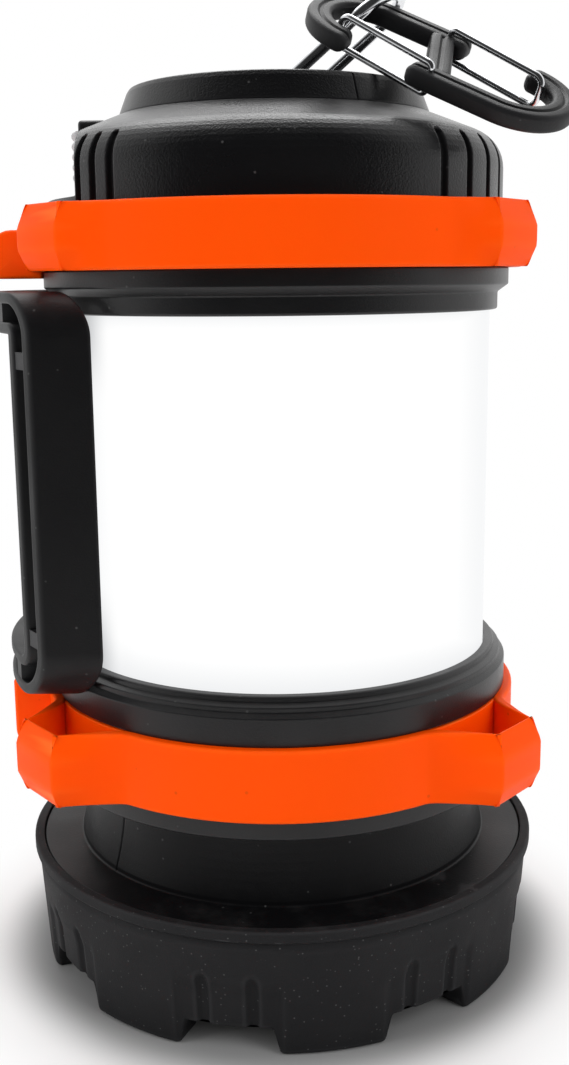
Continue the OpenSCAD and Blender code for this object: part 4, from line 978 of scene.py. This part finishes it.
def strapPart(inset, z0, z1):
    # one strap: a rounded section carried round a rounded rectangle that lies on a cylinder
    t = handle["strap"] / 2
    half, low, high = handle["halfWidth"] - inset - t, z0 + inset + t, z1 - inset - t
    foot, head = handle["corner"] - inset - t, handle["topCorner"] - inset - t
    loop = profile([[-half, low], [half, low], [half, high], [-half, high]],
                   [foot, foot, head, head], 14, 0.5, 2.5)
    deep = handle["outerR"] - handle["innerR"]
    section = profile([[-t, 0], [t, 0], [t, deep], [-t, deep]], handle["edge"], 4, 0.2, 1.5)
    y, z, depth = rimGrid(loop, section)
    return gridPart(onHandle(y, z, depth / deep))


def postPart(y, z, length, width):
    # a short rib between the two straps: a rounded rectangle, drawn from the inner face outwards
    half = np.array([length, width]) / 2
    flat = profile(np.array([[-1, -1], [1, -1], [1, 1], [-1, 1]]) * half, 0.3, 3) + [y, z]
    depth = np.linspace(*handle["postDepths"], 5)[:, None]
    flat = np.repeat(flat[None], len(depth), 0)
    return gridPart(onHandle(flat[..., 0], flat[..., 1], depth), wrapU=False)


def handlePiece():
    # two straps, the ribs between them, and a knuckle at each end of the hinge
    foot, head = ring["lower"]["high"], ring["upper"]["low"]
    z0, z1 = foot + handle["ringGap"], head - handle["ringGap"]
    parts = [strapPart(0.0, z0, z1), strapPart(handle["strap"] + handle["gap"], z0, z1)]
    length, width = handle["gap"] + handle["postSink"], handle["postWidth"]
    middle = handle["strap"] + handle["gap"] / 2
    for side in (-1, 1):
        parts += [postPart(side * handle["postY"], z, width, length)
                  for z in (z0 + middle, z1 - middle)]
        parts += [postPart(side * (handle["halfWidth"] - middle), z0 + (z1 - z0) * share, length,
                           width) for share in handle["postShares"]]
    long = handle["corner"] + handle["ringGap"] + handle["knuckleMore"]
    lowEnd, highEnd = foot + handle["knuckleGap"], head - handle["knuckleGap"]
    bore, outer = handle["knuckleBore"], handle["knuckle"]
    for start, stop in ((lowEnd, lowEnd + long), (highEnd - long, highEnd)):
        barrel = lathe(profile([[bore, start], [outer, start], [outer, stop], [bore, stop]],
                               0.4, 4), evenTurn(48))
        barrel[0][:, :2] += [-handle["hingeX"], handle["hingeY"]]
        parts.append(barrel)
    makePiece("sideHandle", parts, "handle", handleBlack, ["side_handle"], 40)


bail = {"wire": 1.25, "halfWidth": 8.5, "reach": 29.1, "lean": 52.0, "turn": 16.5, "pin": 2.5,
        "bend": 2.2}


def bailPivot():
    # the bail's axis, as its joint says
    return np.array(next(j["pos_m"] for j in frame["joints"] if j["name"] == "bail_swing")) / mm


def bailPiece():
    # a round wire along a U: two legs, half a circle between them, and a bend in to each pivot
    half, leg, pin = bail["halfWidth"], bail["reach"] - bail["halfWidth"], bail["pin"]
    turn = np.linspace(0, math.pi, 25)
    arch = np.stack([half * np.cos(turn), leg + half * np.sin(turn)], 1)
    line = np.concatenate([[[pin, 0], [half, 0]], arch, [[-half, 0], [-pin, 0]]])
    radius = np.zeros(len(line))
    radius[[1, -2]] = bail["bend"]
    line = withSupports(roundCorners(line, radius, 6, closed=False), 0.4, 2.0, closed=False)
    points = np.stack([0 * line[:, 0], line[:, 0], line[:, 1]], 1)
    points = points @ turned(0, bail["lean"], -bail["turn"]).T + bailPivot()
    makePiece("wireBail", [tube(points[spaced(points)], bail["wire"], 20)], "bail",
              brightWire, ["bail"], 60)


saddle = {"length": 12.0, "width": 6.4, "footLength": 30.0, "footThickness": 1.0,
          "pivotHeight": 2.6, "screwIn": 2.6, "headRadius": 2.0, "headHeight": 1.2,
          "headSink": 0.3, "headSide": 0.45, "headTop": 0.55,
          "socketRadius": 1.05, "socketFoot": 0.9, "socketDeep": 0.65}


def saddlePieces():
    # a domed block on a thin foot, and two round screw heads whose sockets are pressed to six
    # flats: r * cos(30) / cos(angle from the middle of the nearest flat)
    pivot, turnBack = bailPivot(), turned(0, 0, -bail["turn"]).T

    def place(a, b, c):
        # (across, up, along the foot) turned as the bail is, from its pivot
        return np.stack([a, c, b], -1) @ turnBack + pivot

    half, down = saddle["width"] / 2, -saddle["pivotHeight"]
    base = down + saddle["footThickness"]
    turn = np.linspace(0, math.pi, 17)
    dome = np.stack([half * np.cos(turn), half * np.sin(turn)], 1)
    block = profile(np.concatenate([[[-half, down], [half, down]], dome]), 0.0, 5, 0.2)
    block = block[np.linalg.norm(block - np.roll(block, 1, 0), axis=1) > 1e-3]
    foot = profile([[-half, down], [half, down], [half, base], [-half, base]], 0.25, 3, 0.1)
    parts = [extruded(line, -long / 2, long / 2, 0.4, place)
             for line, long in ((block, saddle["length"]), (foot, saddle["footLength"]))]
    makePiece("bailSaddle", parts, "lantern", pinSteel, ["bail_saddle"], 50)
    r, h = saddle["headRadius"], saddle["headHeight"]
    floor = base + h * (1 - saddle["socketDeep"])
    sunk, side = base - saddle["headSink"], base + h * saddle["headSide"]
    head = profile([[0.01, sunk], [r, sunk], [r, side], [r * saddle["headTop"], base + h],
                    [saddle["socketRadius"], base + h], [saddle["socketFoot"], floor],
                    [0.01, floor]], [0, 0.05, 0.5, 0.3, 0.08, 0.05, 0], 4, 0.1)

    def hexSocket(a, radius, z):
        # only the socket's own radius is pressed to the flats
        flats = math.cos(math.pi / 6) / np.cos((a % (math.pi / 3)) - math.pi / 6)
        return np.where(radius < saddle["socketRadius"] + 0.05, radius * flats, radius), z

    points, quads, fans = lathe(head, evenTurn(48), hexSocket)
    out = saddle["footLength"] / 2 - saddle["screwIn"]
    heads = [((points + [0, side * out, 0]) @ turnBack + pivot, quads, fans) for side in (-1, 1)]
    makePiece("saddleScrews", heads, "lantern", pinSteel, ["saddle_screws"], 35)


clip = {"halfLength": 16.5, "radius": 12.1, "arm": 5.0, "thickness": 3.6, "gapX": 8.7,
        "gapHalf": 6.6, "barX": 3.956, "edge": 0.95, "groove": 0.45, "grooveHalf": 0.55,
        "endRound": 1.6, "endAcross": 0.98, "endUp": 0.85, "endLeast": 0.3,
        "x": 32.4, "y": -21.7, "rise": 2.4, "roll": 24.4, "dip": 25.6,
        "heading": -21.4, "wire": 0.65, "room": 0.5, "pivot": (2.4, -9.6), "end": (-19.7, -5.2)}


def inClip(points):
    # from the clip's own frame, flat on X and Y, to its place on the bail's leg
    centre = np.array([clip["x"], clip["y"], corners("crown")[1][2] + clip["rise"]])
    return points @ turned(clip["roll"], clip["dip"], clip["heading"]).T + centre


def armPart(line, mirrorIt=False):
    # one hooked arm: a rounded section, grooved on both faces, carried along the line; near each
    # end it shrinks by endRound * (1 - sin t) at endRound * (1 - cos t) from that end
    line = withSupports(line, 0.3, 1.2, closed=False)
    line = line[spaced(line)]
    along = np.gradient(line, axis=0)
    along /= np.linalg.norm(along, axis=1)[:, None]
    side = np.stack([along[:, 1], -along[:, 0]], 1)
    w, t, deep, cut = clip["arm"] / 2, clip["thickness"] / 2, clip["groove"], clip["grooveHalf"]
    section = roundCorners([[-w, -t], [-cut, -t], [0.0, -t + deep], [cut, -t], [w, -t], [w, t],
                            [cut, t], [0.0, t - deep], [-cut, t], [-w, t]],
                           [clip["edge"], 0.2, 0.3, 0.2, clip["edge"]] * 2, 4)
    ends = clip["endRound"]
    steps = np.linspace(0, math.pi / 2, 6)
    run = np.concatenate([[0], np.cumsum(np.linalg.norm(np.diff(line, axis=0), axis=1))])
    begin, inset = ends * (1 - np.cos(steps)), ends * (1 - np.sin(steps))
    inside = run[(run > ends) & (run < run[-1] - ends)]
    at = np.concatenate([begin, inside, run[-1] - begin[::-1]])
    shrink = np.concatenate([inset, 0 * inside, inset[::-1]])[:, None]
    px, py, sx, sy = (np.interp(at, run, row)[:, None] for row in (*line.T, *side.T))
    least = clip["endLeast"]
    across = section[None, :, 0] * np.maximum(1 - shrink / w * clip["endAcross"], least)
    up = section[None, :, 1] * np.maximum(1 - shrink / t * clip["endUp"], least)
    grid = np.stack([px + sx * across, py + sy * across, up], -1)
    if mirrorIt:
        grid = grid * [-1, -1, 1]
    return gridPart(inClip(grid), wrapU=False)


def clipPiece():
    # two hooked arms, one the other turned half round, and the bar that joins them
    middle, half = clip["radius"] - clip["arm"] / 2, clip["halfLength"]
    turn = np.linspace(math.pi / 2, 3 * math.pi / 2, 33)
    bend = np.stack([-half + middle * np.cos(turn), middle * np.sin(turn)], 1)
    line = np.concatenate([[[clip["gapX"] - clip["gapHalf"], middle]], bend,
                           [[-clip["gapX"] - clip["gapHalf"], -middle]]])
    bar = [[-clip["barX"], middle], [clip["barX"], -middle]]
    parts = [armPart(line), armPart(line, mirrorIt=True), armPart(bar)]
    makePiece("clipBody", parts, "clip", clipBlack, ["clip_body"], 45)


def gatePiece(name, node, sign, body):
    # a wire bent into a long loop that stands over both faces of the clip, from pivot to hook
    rise = clip["thickness"] / 2 + clip["room"] + clip["wire"]
    start, end = np.array(clip["pivot"]), np.array(clip["end"])
    span = np.linalg.norm(end - start)
    loop = profile([[0, -rise], [span, -rise], [span, rise], [0, rise]], [1.0, 1.9, 1.9, 1.0],
                   6, 0.3, 2.5)
    flat = start + loop[:, :1] * (end - start) / span
    points, quads, fans = tube(np.concatenate([flat * sign, loop[:, 1:]], 1), clip["wire"], 14,
                               wrap=True)
    makePiece(name, [(inClip(points), quads, fans)], body, brightWire, [node], 60)


switch = {"corner": 1.2, "wall": 1.7, "fit": 0.3, "ribs": 5, "ribDepth": 0.75, "ribRound": 0.7,
          "rim": 0.4, "edge": 0.7, "sideFade": 0.07, "rimFade": 0.03, "rows": 121, "columns": 49}


def switchPieces():
    # a rounded frame, and in it a pad whose depth is ribDepth * |sin(pi * ribs * v)|^ribRound,
    # faded out towards its sides; its wall runs from the face's edge back to a flat
    (front, y0, z0), (back, y1, z1) = corners("switch_housing")
    wall = switch["wall"]
    loop = profile([[y0, z0], [y1, z0], [y1, z1], [y0, z1]], switch["corner"], 5, 0.3)
    section = profile([[0, front], [-wall, front], [-wall, back], [0, back]],
                      [switch["edge"], 0.3, 0.05, 0.05], 4)
    y, z, x = rimGrid(loop, section)
    makePiece("switchFrame", [gridPart(np.stack([x, y, z], -1))], "lantern",
              shellBlack, ["switch_housing"], 40)
    padLow, padHigh = corners("switch_pad")
    room, depth = wall + switch["fit"], switch["ribDepth"]
    vv, uu = np.meshgrid(np.linspace(0, 1, switch["rows"]), np.linspace(0, 1, switch["columns"]),
                         indexing="ij")
    wave = np.abs(np.sin(math.pi * switch["ribs"] * vv)) ** switch["ribRound"]
    sideFade, rimFade = 1.0, 1.0
    for share in (uu, 1 - uu):
        sideFade = sideFade * step01(share, 0, switch["sideFade"])
    for share in (vv, 1 - vv, uu, 1 - uu):
        rimFade = rimFade * step01(share, 0, switch["rimFade"])
    x = padLow[0] + depth - depth * wave * sideFade + (1 - rimFade) * switch["rim"]
    face = np.stack([x, y0 + room + (y1 - y0 - 2 * room) * uu,
                     z0 + room + (z1 - z0 - 2 * room) * vv], -1)
    edge = np.concatenate([face[0, :-1], face[:-1, -1], face[-1, :0:-1], face[:0:-1, 0]])
    backEdge = edge * [0, 1, 1] + [padHigh[0], 0, 0]
    index = np.arange(uu.size).reshape(uu.shape)
    quads = np.stack([index[:-1, :-1], index[1:, :-1], index[1:, 1:], index[:-1, 1:]], -1)
    facePart = (face.reshape(-1, 3), quads.reshape(-1, 4), np.zeros((0, 3), int))
    points, quads, fans = gridPart(np.stack([edge, backEdge]), wrapU=False)
    wallPart = (points, quads, fans[len(edge):])  # without the fan that would cover the face
    makePiece("switchPad", [facePart, wallPart], "switch", greyRubber,
              ["switch_pad"], 60)


lens = {"ringWidth": 3.55, "ringSlope": 0.6, "neck": 7.0, "rim": 1.0, "wall": 0.9, "facet": 0.12,
        "facets": 12}


def torchPieces():
    # turned ring and lens, and a reflector whose radius grows as sqrt(1 - t) towards its mouth,
    # with a shallow ripple of |sin(facets * angle)| that spreads the beam
    low, high = corners("lens_ring")
    inner = high[0] - lens["ringWidth"]
    line = profile([[inner, low[2]], [high[0], low[2]], [high[0], high[2]],
                    [inner + lens["ringSlope"], high[2]]], [0.8, 0.2, 0.2, 0.2], 4, 0.15, 1.0)
    shell("lensRing", "lens_ring", line)
    low, high = corners("torch_lens")
    line = profile([[0.01, low[2]], [high[0], low[2]], [high[0], high[2]], [0.01, high[2]]],
                   [0, 0.3, 0.3, 0], 3, 0.2, 4.0)
    makePiece("torchLens", [lathe(line)], "lantern", lensClear, ["torch_lens"])
    low, high = corners("torch_reflector")
    t = np.linspace(0, 1, 25)
    neck, mouth = lens["neck"], high[0] - lens["rim"]
    r = neck + (mouth - neck) * np.sqrt(1 - t)
    z = low[2] + lens["rim"] + (high[2] - low[2] - lens["rim"]) * t
    line = np.concatenate([np.stack([r, z], 1), np.stack([r + lens["wall"], z], 1)[::-1],
                           [[high[0], low[2]], [mouth, low[2]]]])

    def rippled(a, r, z):
        # the ripple, on the mirror's face alone
        ripple = lens["facet"] * np.abs(np.sin(lens["facets"] * a))
        return r - ripple * (r < mouth - 0.5) * (r > neck + 1), z

    makePiece("torchReflector", [lathe(line, evenTurn(288), rippled)], "lantern",
              mirrorCoat, ["torch_reflector"], 30)


def finishCadNodes():
    # inner pieces and small hardware keep their CAD shape, each with its own finish
    for material, nodes in (
            (bezelRubber, ["lens_seal", "lower_drum_seal", "upper_drum_seal"]),
            (boardGreen, ["torch_board", "main_board"]),
            (pinSteel, ["neck_screws", "charge_socket", "hinge_pin_upper", "hinge_pin_lower"]),
            (whitePlastic, ["floor_mirror", "light_column", "light_board"]),
            (shellBlack, ["cell_tray"]), (cellSleeve, ["battery_cells"]),
            (lampYellow, ["torch_lamp", "drum_lamps"])):
        for node in nodes:
            piece = frame["nodes"][node]
            piece.data.materials.clear()
            piece.data.materials.append(material)


bezelPiece()
headPiece()
bodyPiece()
collarPiece()
drumPiece()
capPiece()
crownPiece()
print("body made")
ringPieces()
handlePiece()
print("rings and handle made")
bailPiece()
saddlePieces()
clipPiece()
gatePiece("nearGate", "clip_gate_near", 1, "near_gate")
gatePiece("farGate", "clip_gate_far", -1, "far_gate")
switchPieces()
softCopy("portFlap", "port_flap", "flap", bezelRubber, 0.3)
torchPieces()
finishCadNodes()
print("small pieces made")

# the studio's lengths are in metres; white is 1
# the floor: its pale colour, a painted shadow near the foot and where it fades out, and where it
# clears to white
studio = {"floor": 0.95, "paintedFootShadow": 0.3, "darkFrom": 0.054, "darkTo": 0.071,
          "floorSize": 0.34, "white": 1.0, "clearFrom": 0.057, "clearTo": 0.087, "world": 0.52,
          "front": 0.03, "frontFrom": -0.75, "frontTo": -0.1, "frontTip": -0.35, "above": 1.2,
          "aboveFrom": 0.6, "aboveTo": 1.2, "target": (0, 0, 0.1)}
# shine 0 keeps a light out of reflections
lights = {"keyRight": {"place": (0.55, -0.45, 0.45), "size": (0.35, 0.7), "power": 2.75,
                       "shine": 0.0},
          "fillLeft": {"place": (-0.6, -0.3, 0.3), "size": (0.3, 0.7), "power": 2.3,
                       "shine": 0.0},
          "topSoft": {"place": (-0.05, 0.34, 0.77), "size": (0.6, 0.4), "power": 2.8,
                      "shine": 1.0}}


def makeFloor():
    # a round pale floor that keeps the lantern's shadow, with a painted shadow that darkens it
    # close to its foot, and as white as the background further out
    mesh = bpy.data.meshes.new("studioFloor")
    turn = evenTurn(96)
    rim = np.stack([np.cos(turn), np.sin(turn), 0 * turn], 1) * studio["floorSize"]
    mesh.from_pydata(rim.tolist(), [], [list(range(len(rim)))])
    floor = bpy.data.objects.new("studioFloor", mesh)
    bpy.context.scene.collection.objects.link(floor)
    material, tree, shader, place = newMaterial("paleFloor", Roughness=0.9)
    pale = studio["floor"]
    tint = mixColor(tree, noise(tree, place, 8.0, 2.0), (pale,) * 3, (pale - 0.01,) * 3)
    away = addNode(tree, "VectorMath", {0: place}, operation="LENGTH").outputs["Value"]
    # painted contact shadow: dark close to the foot, pale further out
    footShadowMask = mapRange(tree, away, studio["darkFrom"], studio["darkTo"], soft=True)
    shade = mixColor(tree, footShadowMask, (studio["paintedFootShadow"],) * 3, tint)
    tree.links.new(shade, shader.inputs["Base Color"])
    clear = mapRange(tree, away, studio["clearFrom"], studio["clearTo"], soft=True)
    share = maths(tree, "MULTIPLY", clear, addNode(tree, "LightPath").outputs["Is Camera Ray"])
    white = addNode(tree, "Emission", {"Color": (1, 1, 1, 1), "Strength": studio["white"]})
    both = addNode(tree, "MixShader", {0: share, 1: shader.outputs[0], 2: white.outputs[0]})
    tree.links.new(both.outputs[0], tree.nodes["Material Output"].inputs["Surface"])
    mesh.materials.append(material)


def makeWorld():
    # white to the camera and through glass; gloss sees white sides, a dark front, and a bright sky
    # that is highest above and behind
    world = bpy.data.worlds.new("studioWorld")
    bpy.context.scene.world = world
    world.use_nodes = True
    tree = world.node_tree
    tree.nodes.clear()
    rays = addNode(tree, "LightPath").outputs
    seen = maths(tree, "MAXIMUM", rays["Is Camera Ray"], rays["Is Transmission Ray"])
    way = addNode(tree, "SeparateXYZ", {0: addNode(tree, "TexCoord").outputs["Generated"]}).outputs
    lowered = maths(tree, "MULTIPLY_ADD", way["Z"], studio["frontTip"], way["Y"])
    front = mapRange(tree, lowered, studio["frontFrom"], studio["frontTo"], studio["front"], 1.0,
                     True)
    raised = maths(tree, "ADD", way["Z"], way["Y"])
    above = mapRange(tree, raised, studio["aboveFrom"], studio["aboveTo"], 0.0, studio["above"],
                     True)
    gloss = maths(tree, "MAXIMUM", front, above)
    plain, shiny, white = (addNode(tree, "Background", {"Color": (1, 1, 1, 1), "Strength": power})
                           for power in (studio["world"], gloss, studio["white"]))
    lit = addNode(tree, "MixShader", {0: rays["Is Glossy Ray"], 1: plain.outputs[0],
                                      2: shiny.outputs[0]})
    both = addNode(tree, "MixShader", {0: seen, 1: lit.outputs[0], 2: white.outputs[0]})
    addNode(tree, "OutputWorld", {"Surface": both.outputs[0]})


def makeLight(name, place, size, power, shine):
    # a soft rectangle of light that looks at the lantern
    lamp = bpy.data.lights.new(name, "AREA")
    lamp.shape = "RECTANGLE"
    lamp.size, lamp.size_y = size
    lamp.energy = power
    lamp.specular_factor = shine
    thing = bpy.data.objects.new(name, lamp)
    bpy.context.scene.collection.objects.link(thing)
    thing.location = place
    aim = Vector(studio["target"]) - Vector(place)
    thing.rotation_euler = aim.to_track_quat("-Z", "Y").to_euler()
    thing.visible_glossy = shine > 0


# lens, sensor and where the camera stands are in millimetres, the turns in degrees
view = {"lens": 42.70, "sensor": 36.0, "right": -2.7, "back": 280.5, "height": 151.7,
        "pitch": 11.41, "yaw": 0.8, "roll": 0.6, "objectTurn": 1.5}


def makeCamera():
    # stands at (right, -back, height), turned by objectTurn about the lantern, and looks along
    # (sin h cos p, cos h cos p, -sin p), with its own roll
    data = bpy.data.cameras.new("studioView")
    data.sensor_fit = "VERTICAL"
    data.sensor_height = view["sensor"]
    data.lens = view["lens"]
    data.clip_start = 0.01
    place = turned(0, 0, view["objectTurn"]) @ [view["right"], -view["back"], view["height"]]
    heading = math.radians(view["yaw"] - view["objectTurn"])
    pitch, roll = math.radians(view["pitch"]), math.radians(-view["roll"])
    forward = np.array([math.sin(heading) * math.cos(pitch), math.cos(heading) * math.cos(pitch),
                        -math.sin(pitch)])
    right = np.array([math.cos(heading), -math.sin(heading), 0.0])
    up = np.cross(right, forward)
    m = np.eye(4)
    m[:3, 0] = right * math.cos(roll) + up * math.sin(roll)
    m[:3, 1] = up * math.cos(roll) - right * math.sin(roll)
    m[:3, 2] = -forward
    m[:3, 3] = place * mm
    camera = bpy.data.objects.new("studioView", data)
    bpy.context.scene.collection.objects.link(camera)
    camera.matrix_world = Matrix(m.tolist())
    bpy.context.scene.camera = camera


makeFloor()
makeWorld()
for name, settings in lights.items():
    makeLight(name, **settings)
makeCamera()
bpy.context.scene.view_settings.view_transform = "Standard"
print("stage made")
